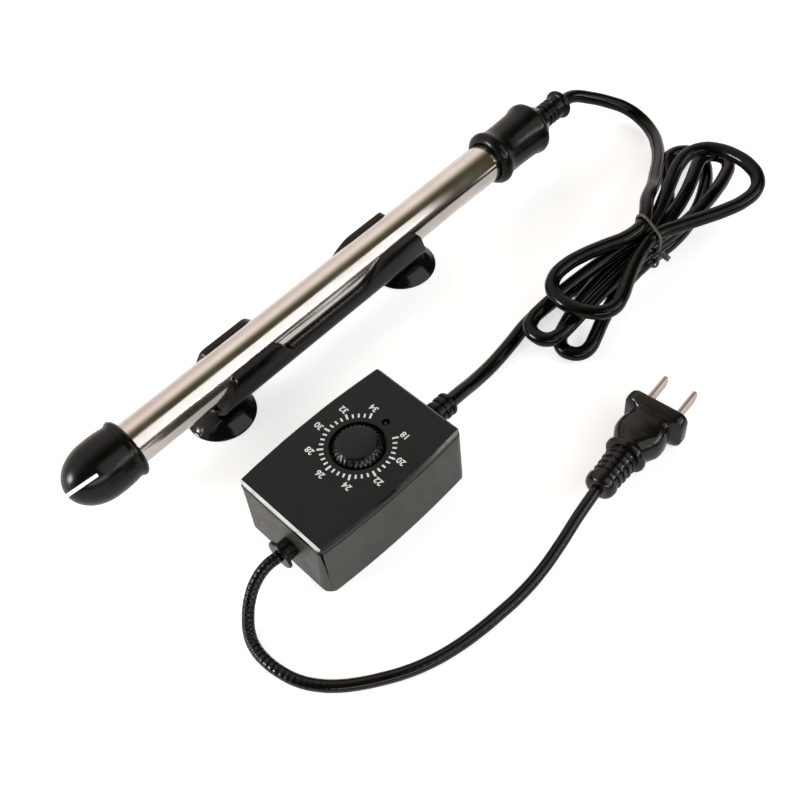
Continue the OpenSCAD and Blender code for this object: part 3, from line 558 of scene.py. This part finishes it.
heaterRelief = {
    "start": [(25.4, 0), (25.4, 4.5), (36.9, 4.5), (36.9, 4.9)],
    "ribs": 4,
    "pitch": 2.6,
    "firstRib": 37.0,
    # one rib: how far along it, and its radius there
    "rib": [(0, 4.9), (0.25, 5.35), (0.6, 5.5), (1.1, 5.5), (1.4, 5.35), (1.7, 4.9)],
    "waist": (48, 5.1),
    "bead": {"at": 50.7, "neck": 5.2, "radius": 1.6},
    "mouth": [(53.4, 4.3), (53.4, 2.4), (46, 2.4), (46, 0)],
}


def makeHeaterRelief(c):
    stations = list(c["start"])
    for i in range(c["ribs"]):
        s = c["firstRib"] + i * c["pitch"]
        stations += [(s + along, radius) for along, radius in c["rib"]]
    bead = c["bead"]
    stations += [c["waist"]] + arcStations(bead["at"], bead["neck"], bead["radius"], -80, 80, 8) + c["mouth"]
    return turned("heaterRelief", onHeater(heater["upperMouth"]), alongX, stations, 64)


settle(makeHeaterRelief(heaterRelief), "heaterRelief", body, ["cord_gland"], rubber)
print("heater made")

holder = copyOfSolid("clip_holder", width=0.35, segments=3)
settle(holder, "clipHolder", "holder", ["clip_holder"], polypropylene)

cup = {
    "lower": -73.2,
    "upper": 33.2,
    "outside": [(0, 13.4), (0, 13.9), (0.1, 14.3), (0.35, 14.5), (0.7, 14.5), (1.0, 14.3), (1.3, 13.8),
                (1.9, 13.1), (2.9, 12.0), (3.9, 10.6), (4.9, 8.9), (5.7, 7.1), (6.2, 5.7), (6.8, 4.75),
                (7.6, 4.6), (8.6, 4.6), (8.95, 4.3), (8.95, 2.5), (10.25, 2.5), (10.25, 4.0), (10.5, 4.1),
                (10.85, 4.1), (11.2, 3.7), (11.4, 3.1), (11.4, 0)],
    "inside": [(3.4, 0), (3.4, 1.4), (3.25, 4), (2.7, 8), (1.4, 11.5), (0.2, 13.2), (0, 13.4)],
}


def makeCup(c, x):
    piece = turned("suctionCup", (x, heater["axisY"], 0), (0, 0, 1), c["inside"] + c["outside"][1:], 72)
    edged(piece, width=0.12, angle=45)
    return piece


lowerCup = settle(makeCup(cup, cup["lower"]), "lowerSuctionCup", "lower_cup", ["lower_suction_cup"],
                  cupRubber)
upperCup = lowerCup.copy()
upperCup.data = lowerCup.data.copy()
upperCup.parent = None
del upperCup["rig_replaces"]
bpy.context.scene.collection.objects.link(upperCup)
upperCup.location.x += (cup["upper"] - cup["lower"]) * mm
settle(upperCup, "upperSuctionCup", "upper_cup", ["upper_suction_cup"], cupRubber)
print("holder and cups made")

box = {
    "x": -65.0,
    "y": -30.55,
    "yaw": radians(-1.5),
    "height": 29.0,
    "end": 35.32,
    "leadY": -1.9,
    "mainsY": -4.2,
    "glandZ": 14.0,
    # outer corners lie beyond these, their edges stand steeper than this and turn by more than this angle
    "corner": {"beyondX": 30, "beyondY": 18, "steep": 2, "angle": 20},
}


def inBox(x, y, z):
    turn = box["yaw"]
    return (box["x"] + x * cos(turn) - y * sin(turn), box["y"] + x * sin(turn) + y * cos(turn), z)


boxWay = Vector((cos(box["yaw"]), sin(box["yaw"]), 0))


def boxLocal(point):
    turn, x, y = -box["yaw"], point.x - box["x"], point.y - box["y"]
    return Vector((x * cos(turn) - y * sin(turn), x * sin(turn) + y * cos(turn), point.z))


def outerUpright(ends, normals):
    # the two upright edges of each cut corner, on the outside of the shell
    a, b = (boxLocal(end) for end in ends)
    corner = box["corner"]
    if min(abs(a.x), abs(b.x)) < corner["beyondX"] or min(abs(a.y), abs(b.y)) < corner["beyondY"]:
        return False
    if abs(a.z - b.z) < corner["steep"] * hypot(a.x - b.x, a.y - b.y):
        return False
    turn = -box["yaw"]
    outward = [(n.x * cos(turn) - n.y * sin(turn)) * a.x + (n.x * sin(turn) + n.y * cos(turn)) * a.y
               for n in normals]
    return min(outward) > 0 and normals[0].angle(normals[1]) > radians(corner["angle"])


rim = {"end": 33.6, "side": 22.45, "bow": 0.0013, "stations": (-30, -20, -10, 0, 10, 20, 30)}


def slopeRim(piece, r):
    # one sloping facet all round the face plate; the bowed sides take it from several planes
    cuts = [((way * r["end"], 0), (way, 0)) for way in (-1, 1)]
    for way in (-1, 1):
        cuts += [((x, way * (r["side"] - r["bow"] * x * x)), (2 * r["bow"] * x, way)) for x in r["stations"]]
    pick(piece)
    for (x, y), (nx, ny) in cuts:
        turn = box["yaw"]
        editMesh("VERT", "SELECT")
        bpy.ops.mesh.bisect(plane_co=Vector(inBox(x, y, box["height"])) * mm, use_fill=True, clear_outer=True,
                            plane_no=(nx * cos(turn) - ny * sin(turn), nx * sin(turn) + ny * cos(turn), 1))
    bpy.ops.object.mode_set(mode="OBJECT")


shell = copyOfSolid("box_base", width=0)
roundChosen(shell, width=1.3, segments=4, chosen=outerUpright)
edged(shell, width=0.25, angle=40)
settle(shell, "controllerBase", body, ["box_base"], grainedAbs)
evenShading(shell)
lid = copyOfSolid("box_cover", width=0)
roundChosen(lid, width=1.0, segments=3, chosen=outerUpright)
edged(lid, width=0.12, angle=40)
slopeRim(lid, rim)
settle(lid, "controllerCover", body, ["box_cover"], glossAbs)
evenShading(lid)

dial = {
    "x": -60.483,
    "y": -29.968,
    "foot": 26.2,
    "teeth": 30,
    "toothGrowth": 1.06,
    "profile": [(2.4, 0), (2.4, 3.0), (0, 3.0), (0, 9.3), (0.3, 9.5), (2.0, 9.4), (2.5, 9.15), (4.3, 7.75),
                (4.6, 7.45), (4.8, 7.1), (4.85, 6.8), (4.85, 0)],
    # the flank lies beyond this radius, between these heights over the foot
    "flank": {"beyond": 7.9, "low": 0.2, "high": 4.3},
}


def makeDial(d):
    sides = d["teeth"] * 4
    piece = turned("dial", (d["x"], d["y"], d["foot"]), (0, 0, 1), d["profile"], sides)
    low, high = d["foot"] + d["flank"]["low"], d["foot"] + d["flank"]["high"]
    # every other pair of flank faces is pulled out into a tooth
    editMesh("FACE", "DESELECT")
    mesh = bmesh.from_edit_mesh(piece.data)
    place = piece.matrix_world
    for face in mesh.faces:
        centre = place @ face.calc_center_median() / mm
        out = hypot(centre.x - d["x"], centre.y - d["y"])
        step = atan2(centre.y - d["y"], centre.x - d["x"]) / (2 * pi) * sides % 4
        face.select = out > d["flank"]["beyond"] and low < centre.z < high and step < 2
    bmesh.update_edit_mesh(piece.data)
    bpy.ops.mesh.extrude_region_move()
    middle = Vector((d["x"], d["y"], 0)) * mm
    grow = d["toothGrowth"]
    bpy.ops.transform.resize(value=(grow, grow, 1), center_override=middle)
    bpy.ops.object.mode_set(mode="OBJECT")
    edged(piece, width=0.12, angle=40)
    return piece


settle(makeDial(dial), "temperatureDial", "dial", ["temperature_dial"], dialAbs)
print("controller made")

scale = {
    "lowest": 18,
    "step": 2,
    "labels": 9,
    "from": 325.0,
    "to": 25.0,
    "between": 3,
    # inner end, outer end and width of the long and the short ticks
    "long": (12.6, 15.0, 1.15),
    "short": (12.6, 14.3, 1),
    "line": 0.7,
    "numbersAt": 17.5,
    "numberHeight": 2.5,
    # a letter's size over its height, and how much its strokes are thickened
    "sizeOverHeight": 1.4,
    "bolder": 0.03,
    "ink": 0.03,
    "lift": 0.015,
}


def printScale(s, d, z):
    # the ticks and the plain temperature numbers, printed round the dial
    clearSelection()
    steps = (s["labels"] - 1) * (s["between"] + 1)
    printed = []
    for i in range(steps + 1):
        angle = radians(s["from"] + (s["to"] - s["from"]) * i / steps)
        long = i % (s["between"] + 1) == 0
        inner, outer, wide = s["long"] if long else s["short"]
        middle = (inner + outer) / 2
        place = Vector((d["x"] + middle * cos(angle), d["y"] + middle * sin(angle), z)) * mm
        bpy.ops.mesh.primitive_cube_add(size=1, rotation=(0, 0, angle), location=place,
                                        scale=((outer - inner) * mm, s["line"] * wide * mm, s["ink"] * mm))
        printed.append(bpy.context.object)
        if long:
            x, y = d["x"] + s["numbersAt"] * cos(angle), d["y"] + s["numbersAt"] * sin(angle)
            at = Vector((x, y, z - s["ink"] / 2))
            bpy.ops.object.text_add(location=at * mm, rotation=(0, 0, radians(90) + box["yaw"]))
            words = bpy.context.object
            words.data.body = str(s["lowest"] + s["step"] * i // (s["between"] + 1))
            words.data.size = s["numberHeight"] * s["sizeOverHeight"] * mm
            words.data.offset = s["bolder"] * s["numberHeight"] * mm
            words.data.align_x = words.data.align_y = "CENTER"
            words.data.extrude = s["ink"] / 2 * mm
            words.data.resolution_u = 4
            bpy.ops.object.convert(target="MESH")
            words.location.z += s["ink"] / 2 * mm
            printed.append(words)
    clearSelection()
    for piece in printed:
        piece.select_set(True)
    bpy.context.view_layer.objects.active = printed[0]
    bpy.ops.object.join()
    return printed[0]


settle(printScale(scale, dial, box["height"] + scale["lift"]), "dialScale", body, material=printInk, smooth=0)

sideGlands = {
    "lead": [(-3.6, 0), (-3.6, 5.4), (-2.2, 5.4), (-2.15, 4.25), (1.3, 4.25), (1.4, 4.7), (1.7, 4.85),
             (2.9, 4.85), (3.2, 4.7), (3.3, 4.25), (4.7, 4.25), (4.8, 4.7), (5.1, 4.85), (6.3, 4.85),
             (6.6, 4.7), (6.7, 4.25), (8.1, 4.25), (8.2, 4.7), (8.5, 4.85), (9.7, 4.85), (10.0, 4.7),
             (10.1, 4.25), (10.9, 4.25), (11.1, 4.8), (11.7, 4.95), (12.4, 4.8), (13.0, 4.3), (13.0, 2.9),
             (11, 2.9), (11, 0)],
    "mains": [(-3.6, 0), (-3.6, 5.4), (-2.2, 5.4), (-2.15, 4.05), (3.9, 4.05), (4.2, 4.4), (4.3, 5.5),
              (4.5, 5.9), (4.9, 6.0), (5.3, 5.9), (5.7, 5.5), (5.8, 4.4), (5.8, 2.2), (4, 2.2), (4, 0)],
}
leadHole = inBox(box["end"], box["leadY"], box["glandZ"])
leadGland = turned("leadGland", leadHole, boxWay, sideGlands["lead"], 56)
settle(leadGland, "leadGland", body, ["heater_lead_gland"], rubber)
mainsHole = inBox(-box["end"], box["mainsY"], box["glandZ"])
mainsGland = turned("mainsGland", mainsHole, -boxWay, sideGlands["mains"], 56)
settle(mainsGland, "mainsGland", body, ["mains_lead_gland"], rubber)
print("scale and glands made")

plug = {
    "face": (33.5, -95.3, 8.5),
    "yaw": radians(4.5),
    # distance behind the face, width, height, corner
    "sections": [
        (0, 22.8, 14.6, 3.2), (0.35, 24.1, 15.7, 3.8), (1.0, 24.8, 16.3, 4.2), (2.6, 25.0, 16.4, 4.4),
        (4.2, 24.8, 16.3, 4.2), (4.8, 24.2, 15.7, 4.0), (5.3, 22.4, 14.6, 4.0), (5.9, 18.6, 13.2, 4.2),
        (6.5, 17.2, 12.8, 4.4), (7.6, 17.2, 12.8, 4.8), (9.2, 18.5, 13.4, 5.2), (11.5, 19.6, 13.9, 5.6),
        (14, 19.8, 14, 5.8), (16, 19.2, 14, 6), (18, 17.2, 13.9, 6.3), (20, 15.0, 13.8, 6.6),
        (21.0, 14.3, 14, 6.9), (21.5, 14.8, 14.6, 7.2), (22.2, 16.0, 16, 7.9), (22.9, 16.6, 16.6, 8.2),
        (23.7, 16.6, 16.6, 8.2), (24.4, 15.8, 15.8, 7.8), (24.9, 13.6, 13.6, 6.7),
    ],
    "relief": [(24.4, 0), (24.4, 5.9), (25.3, 5.9), (26.2, 5.85), (26.4, 6.3), (26.8, 6.45), (27.2, 6.3),
               (27.4, 5.7), (29.0, 5.65), (29.2, 6.15), (29.6, 6.3), (30.0, 6.15), (30.2, 5.5),
               (31.8, 5.45), (32.0, 6.0), (32.4, 6.12), (32.8, 6.0), (33.0, 5.35), (34.6, 5.3),
               (34.8, 5.8), (35.2, 5.95), (35.6, 5.8), (35.8, 5.2), (37.4, 5.15), (37.7, 5.7),
               (38.2, 6.05), (39.4, 6.1), (40.8, 5.85), (41.8, 5.3), (42.3, 4.6), (42.5, 3.8),
               (42.5, 2.2), (40, 2.2), (40, 0)],
    "dish": {"behind": 12.6, "radius": 8.5, "depth": 0.7, "halfHeight": 7, "across": 30},
}


def roundedLoop(s, width, height, corner):
    clearSelection()
    bpy.ops.mesh.primitive_plane_add(size=1, location=(-s * mm, 0, 0), rotation=(radians(90), 0, radians(90)))
    loop = bpy.context.object
    loop.scale = (width * mm, height * mm, 1)
    bpy.ops.object.transform_apply(location=True, rotation=True, scale=True)
    editMesh("VERT", "SELECT")
    bpy.ops.mesh.bevel(offset=corner * mm, offset_type="OFFSET", segments=8, affect="VERTICES",
                       clamp_overlap=False)
    bpy.ops.mesh.delete(type="ONLY_FACE")
    bpy.ops.object.mode_set(mode="OBJECT")
    return loop


def chooseSections(piece, spots):
    editMesh("EDGE", "DESELECT")
    mesh = bmesh.from_edit_mesh(piece.data)
    for edge in mesh.edges:
        edge.select = any(all(abs(v.co.x / mm + s) < 0.01 for v in edge.verts) for s in spots)
    bmesh.update_edit_mesh(piece.data)


def makePlugBody(p):
    loops = [roundedLoop(*section) for section in p["sections"]]
    clearSelection()
    for loop in loops:
        loop.select_set(True)
    bpy.context.view_layer.objects.active = loops[0]
    bpy.ops.object.join()
    piece = loops[0]
    for one, two in zip(p["sections"], p["sections"][1:]):
        chooseSections(piece, (one[0], two[0]))
        bpy.ops.mesh.bridge_edge_loops()
    for end in (p["sections"][0], p["sections"][-1]):
        chooseSections(piece, (end[0],))
        bpy.ops.mesh.edge_face_add()
    closeUp()
    dish = p["dish"]
    for side in (-1, 1):
        height = side * (dish["halfHeight"] - dish["depth"] + dish["radius"])
        bpy.ops.mesh.primitive_cylinder_add(vertices=96, radius=dish["radius"] * mm,
                                            depth=dish["across"] * mm, rotation=(radians(90), 0, 0),
                                            location=Vector((-dish["behind"], 0, height)) * mm)
        cut(piece, bpy.context.object)
    return piece


def intoPlace(piece, p):
    piece.rotation_euler = (0, 0, p["yaw"])
    piece.location = Vector(p["face"]) * mm
    return piece


settle(intoPlace(makePlugBody(plug), plug), "plugBody", body, ["plug_body"], plugPvc)
relief = turned("plugRelief", (0, 0, 0), (-1, 0, 0), plug["relief"], 56)
pick(relief)
bpy.ops.object.transform_apply(location=True, rotation=True, scale=True)
settle(intoPlace(relief, plug), "plugRelief", body, ["plug_strain_relief"], plugPvc)
blades = copyOfSolid("plug_blades", width=0.25)
settle(blades, "plugBlades", body, ["plug_blades"], platedBrass)
print("plug made")

tie = {
    "radius": 0.6,
    "wrap": 3.85,
    # the two ends are twisted together: length, radius, gap before it, points and degrees from point to point
    "twist": {"long": 5.0, "radius": 0.75, "gap": 0.3, "points": 16, "step": 50},
}


def tieRoute(t, h):
    passZ, c = passHeights(h), h["column"]
    slope = atan2(h["step"], 2 * h["column"])

    def bow(v, z, start, stop, steps):
        angles = [start + (stop - start) * k / steps for k in range(steps + 1)]
        return [(0, v + t["wrap"] * cos(a), z + t["wrap"] * sin(a)) for a in angles]

    wrap = bow(c, passZ[1], radians(10), radians(90) - slope, 4)
    wrap += bow(-c, passZ[0], radians(95) - slope, pi, 6)
    wrap += bow(-c, passZ[-1], pi, radians(265) + slope, 6)
    wrap += bow(c, passZ[-2], slope - radians(90), radians(-10), 4)
    middle, twist = (passZ[1] + passZ[-2]) / 2, t["twist"]
    ends = []
    for phase in (0, pi):
        ends.append([(twist["radius"] * sin(radians(twist["step"] * k) + phase),
                      c + t["wrap"] + twist["gap"] + twist["long"] * k / twist["points"],
                      middle + twist["radius"] * cos(radians(twist["step"] * k) + phase))
                     for k in range(twist["points"] + 1)])
    return [hankPlace(h, *q) for q in ends[0][::-1] + wrap + ends[1]]


tieWire = strandAlong("hankTie", tieRoute(tie, hank), tie["radius"] * 2, 3, 4)
pick(tieWire)
bpy.ops.object.convert(target="MESH")
tieWire = bpy.context.object
settle(tieWire, "hankTie", body, ["hank_tie"], tieCoat)
print("tie made")


studio = {
    "floor": "#ececec",
    "floorGlow": 0.62,
    "glossyShare": 0.45,
    "roomStrength": 1.06,
    "floorSize": 8,
    # from which to which height across the sky the room's colours run
    "roomFrom": -0.1,
    "roomTo": 0.9,
    # the room's light from the near side over the zenith to the far side
    "room": [(0.0, (0.07, 0.062, 0.038, 1)), (0.17, (0.13, 0.115, 0.07, 1)), (0.34, (0.42, 0.38, 0.3, 1)),
             (0.53, (0.88, 0.8, 0.73, 1)), (0.72, (1.0, 0.9, 0.85, 1)), (1.0, (0.76, 0.65, 0.6, 1))],
    # places, aims and sizes in metres
    "lights": [
        {"name": "overheadBox", "place": (0.5, -0.92, 0.88), "aim": (0.5, 0.04, 0.02),
         "size": (1.5, 1.12), "level": 1.25},
        {"name": "brightTube", "place": (0.5, -1.06, 0.53), "aim": (-0.03, -0.05, 0.03),
         "size": (0.8, 0.06), "level": 18.0},
        {"name": "leftKey", "place": (-1.2, 0.65, 0.39), "aim": (-0.1, -0.03, 0.03),
         "size": (0.36, 0.32), "level": 34.0},
        {"name": "frontStrip", "place": (-0.62, -1.02, 0.46), "aim": (-0.06, -0.03, 0.02),
         "size": (1.1, 0.13), "level": 9.0},
    ],
}


def setStudio(s):
    clearSelection()
    bpy.ops.mesh.primitive_plane_add(size=s["floorSize"], location=(0, 0, 0))
    floor = bpy.context.object
    floor.name = "studioFloor"
    material, tree, shader = newMaterial("matteWhitePaper", s["floor"], 0.9)
    path = addNode(tree, "LightPath")
    direct = addNode(tree, "Math", {0: path.outputs["Is Camera Ray"], 1: path.outputs["Is Transmission Ray"]},
                     operation="ADD")
    seen = addNode(tree, "Math", {0: path.outputs["Is Glossy Ray"], 1: s["glossyShare"],
                                  2: direct.outputs[0]}, operation="MULTIPLY_ADD", use_clamp=True)
    glow = addNode(tree, "Math", {0: seen.outputs[0], 1: s["floorGlow"]}, operation="MULTIPLY")
    shader.inputs["Emission Color"].default_value = (1, 1, 1, 1)
    tree.links.new(glow.outputs[0], shader.inputs["Emission Strength"])
    floor.data.materials.append(material)

    world = bpy.data.worlds.new("softRoom")
    bpy.context.scene.world = world
    world.use_nodes = True
    tree = world.node_tree
    coords = addNode(tree, "TexCoord")
    parts = addNode(tree, "SeparateXYZ", {0: coords.outputs["Generated"]})
    across = addNode(tree, "MapRange", {"Value": parts.outputs["Y"], "From Min": s["roomFrom"],
                                        "From Max": s["roomTo"]})
    room = addNode(tree, "ValToRGB", {"Fac": across.outputs["Result"]})
    stops = room.color_ramp.elements
    while len(stops) < len(s["room"]):
        stops.new(1.0)
    for stop, (place, colour) in zip(stops, s["room"]):
        stop.position, stop.color = place, colour
    # behind the object the camera sees plain white
    rays = addNode(tree, "LightPath")
    direct = addNode(tree, "Math", {0: rays.outputs["Is Camera Ray"], 1: rays.outputs["Is Transmission Ray"]},
                     operation="ADD", use_clamp=True)
    backdrop = addNode(tree, "Mix", {"Factor": direct.outputs[0], 6: room.outputs["Color"]}, data_type="RGBA")
    backdrop.inputs[7].default_value = (1, 1, 1, 1)
    tree.links.new(backdrop.outputs[2], tree.nodes["Background"].inputs["Color"])
    tree.nodes["Background"].inputs["Strength"].default_value = s["roomStrength"]


def softbox(name, place, aim, size, level):
    data = bpy.data.lights.new(name, "AREA")
    data.shape, data.size, data.size_y = "RECTANGLE", size[0], size[1]
    data.energy = level * pi * size[0] * size[1]
    lamp = bpy.data.objects.new(name, data)
    lamp.location = place
    lamp.rotation_euler = (Vector(aim) - Vector(place)).to_track_quat("-Z", "Y").to_euler()
    bpy.context.scene.collection.objects.link(lamp)


setStudio(studio)
for light in studio["lights"]:
    softbox(**light)
print("studio set")


# how far apart a wave texture's bands lie at scale 1
waveSpacing = 0.314


def banded(material, size, height, way="X"):
    # adds close parallel bands: a winding, a weave or the lines left by a tool
    tree = material.node_tree
    coords = addNode(tree, "TexCoord").outputs["Object"]
    bands = addNode(tree, "TexWave", {"Vector": coords, "Scale": waveSpacing / (size * mm), "Distortion": 0.4,
                                      "Detail": 1.0}, bands_direction=way)
    old = next(node for node in tree.nodes if node.type == "BUMP")
    bump = addNode(tree, "Bump", {"Height": bands.outputs["Fac"], "Distance": height * mm,
                                  "Normal": old.outputs["Normal"]})
    tree.links.new(bump.outputs["Normal"], tree.nodes["Principled BSDF"].inputs["Normal"])
    return material


def tracked(material, metal, size, share):
    # adds bright metal tracks and pads over a board
    tree = material.node_tree
    shader = tree.nodes["Principled BSDF"]
    coords = addNode(tree, "TexCoord").outputs["Object"]
    cells = addNode(tree, "TexVoronoi", {"Vector": coords, "Scale": 1 / (size * mm)}, distance="CHEBYCHEV")
    pads = addNode(tree, "Math", {0: cells.outputs["Distance"], 1: share}, operation="LESS_THAN")
    old = shader.inputs["Base Color"].links[0].from_socket
    mix = addNode(tree, "Mix", {"Factor": pads.outputs[0], 6: old}, data_type="RGBA")
    mix.inputs[7].default_value = linear(metal)
    tree.links.new(mix.outputs[2], shader.inputs["Base Color"])
    tree.links.new(pads.outputs[0], shader.inputs["Metallic"])
    return material


# clear red lens: dark until lit, with light let through its skin
redLens = moulded("redLampLens", "#3a0807", "#240404", 0.12, 0.8, 0.004, ior=1.49)
redLens.node_tree.nodes["Principled BSDF"].inputs["Transmission Weight"].default_value = 0.3
finishes = {
    "steel_sheath": steel,
    "bottom_cap": rubber,
    "top_cap": rubber,
    "cord_gland": rubber,
    "heater_lead_gland": rubber,
    "mains_lead_gland": rubber,
    "clip_holder": polypropylene,
    "lower_suction_cup": cupRubber,
    "upper_suction_cup": cupRubber,
    "box_base": grainedAbs,
    "box_cover": glossAbs,
    "temperature_dial": dialAbs,
    "heater_lead": leadPvc,
    "lead_hank": leadPvc,
    "box_lead": leadPvc,
    "mains_lead": leadPvc,
    "plug_body": plugPvc,
    "plug_strain_relief": plugPvc,
    "plug_blades": platedBrass,
    "hank_tie": tieCoat,
    "indicator_led": redLens,
    # porous white ceramic, chalky
    "ceramic_core": moulded("firedCeramic", "#dcd5c6", "#c6bba6", 0.78, 0.5, 0.04),
    # resistance wire with its brown heat tint
    "resistance_wire": drawnMetal("oxidisedResistanceWire", "#7b7068", "#54473f", 0.36, 0.1),
    # stacked mica discs with a pearly layered edge
    "core_spacers": banded(moulded("pressedMica", "#b9a987", "#9c8a66", 0.42, 0.6, 0.01), 0.25, 0.05),
    # glass-fibre sleeves, woven
    "inner_leads": banded(moulded("wovenSleeve", "#e4dfd1", "#cfc8b6", 0.66, 0.3, 0.02), 0.5, 0.06),
    "thermal_cutout": banded(drawnMetal("tinnedSteelCase", "#bdbab3", "#a19c92", 0.28), 1.2, 0.02),
    # dipped epoxy bead, dark green and glassy
    "temperature_sensor": moulded("dippedEpoxyBead", "#1d3a28", "#142a1d", 0.16, 1.2, 0.02),
    # cast silicone: translucent grey with a waxy skin
    "tube_seal": moulded("castSilicone", "#77736d", "#655f58", 0.46, 1.0, 0.02, ior=1.41),
    "dial_shaft": banded(moulded("mouldedNylonShaft", "#d8d4c8", "#c5bfaf", 0.4, 0.5, 0.01), 0.6, 0.01, "Z"),
    "potentiometer": banded(drawnMetal("zincPlatedCase", "#bcbbb2", "#98968a", 0.3), 1.0, 0.01, "Z"),
    # green solder mask over a glass-fibre board, with tinned tracks
    "circuit_board": tracked(moulded("maskedCircuitBoard", "#1f5a35", "#184829", 0.3, 0.8, 0.01),
                             "#c9c3b2", 3.4, 0.16),
    "power_relay": moulded("relayCasePlastic", "#1f3f74", "#193461", 0.34, 0.5, 0.012),
    # epoxy-dipped film capacitor, brick red and lumpy
    "dropper_capacitor": moulded("dippedFilmCapacitor", "#93301f", "#7a2417", 0.26, 2.2, 0.08),
    "control_chip": moulded("mouldedChipEpoxy", "#1b1b1d", "#242427", 0.58, 0.12, 0.006),
    "line_fuse": banded(moulded("glazedFuseCeramic", "#e7e1d3", "#d6cdb9", 0.22, 1.2, 0.01), 1.5, 0.01),
    "case_screws": banded(drawnMetal("zincPlatedScrew", "#b9b7ad", "#8f8c7e", 0.32), 0.7, 0.06, "Z"),
}
for name, solid in nodes.items():
    solid.data.materials.clear()
    solid.data.materials.append(finishes[name])
print("materials given to the carried solids:", len(finishes))
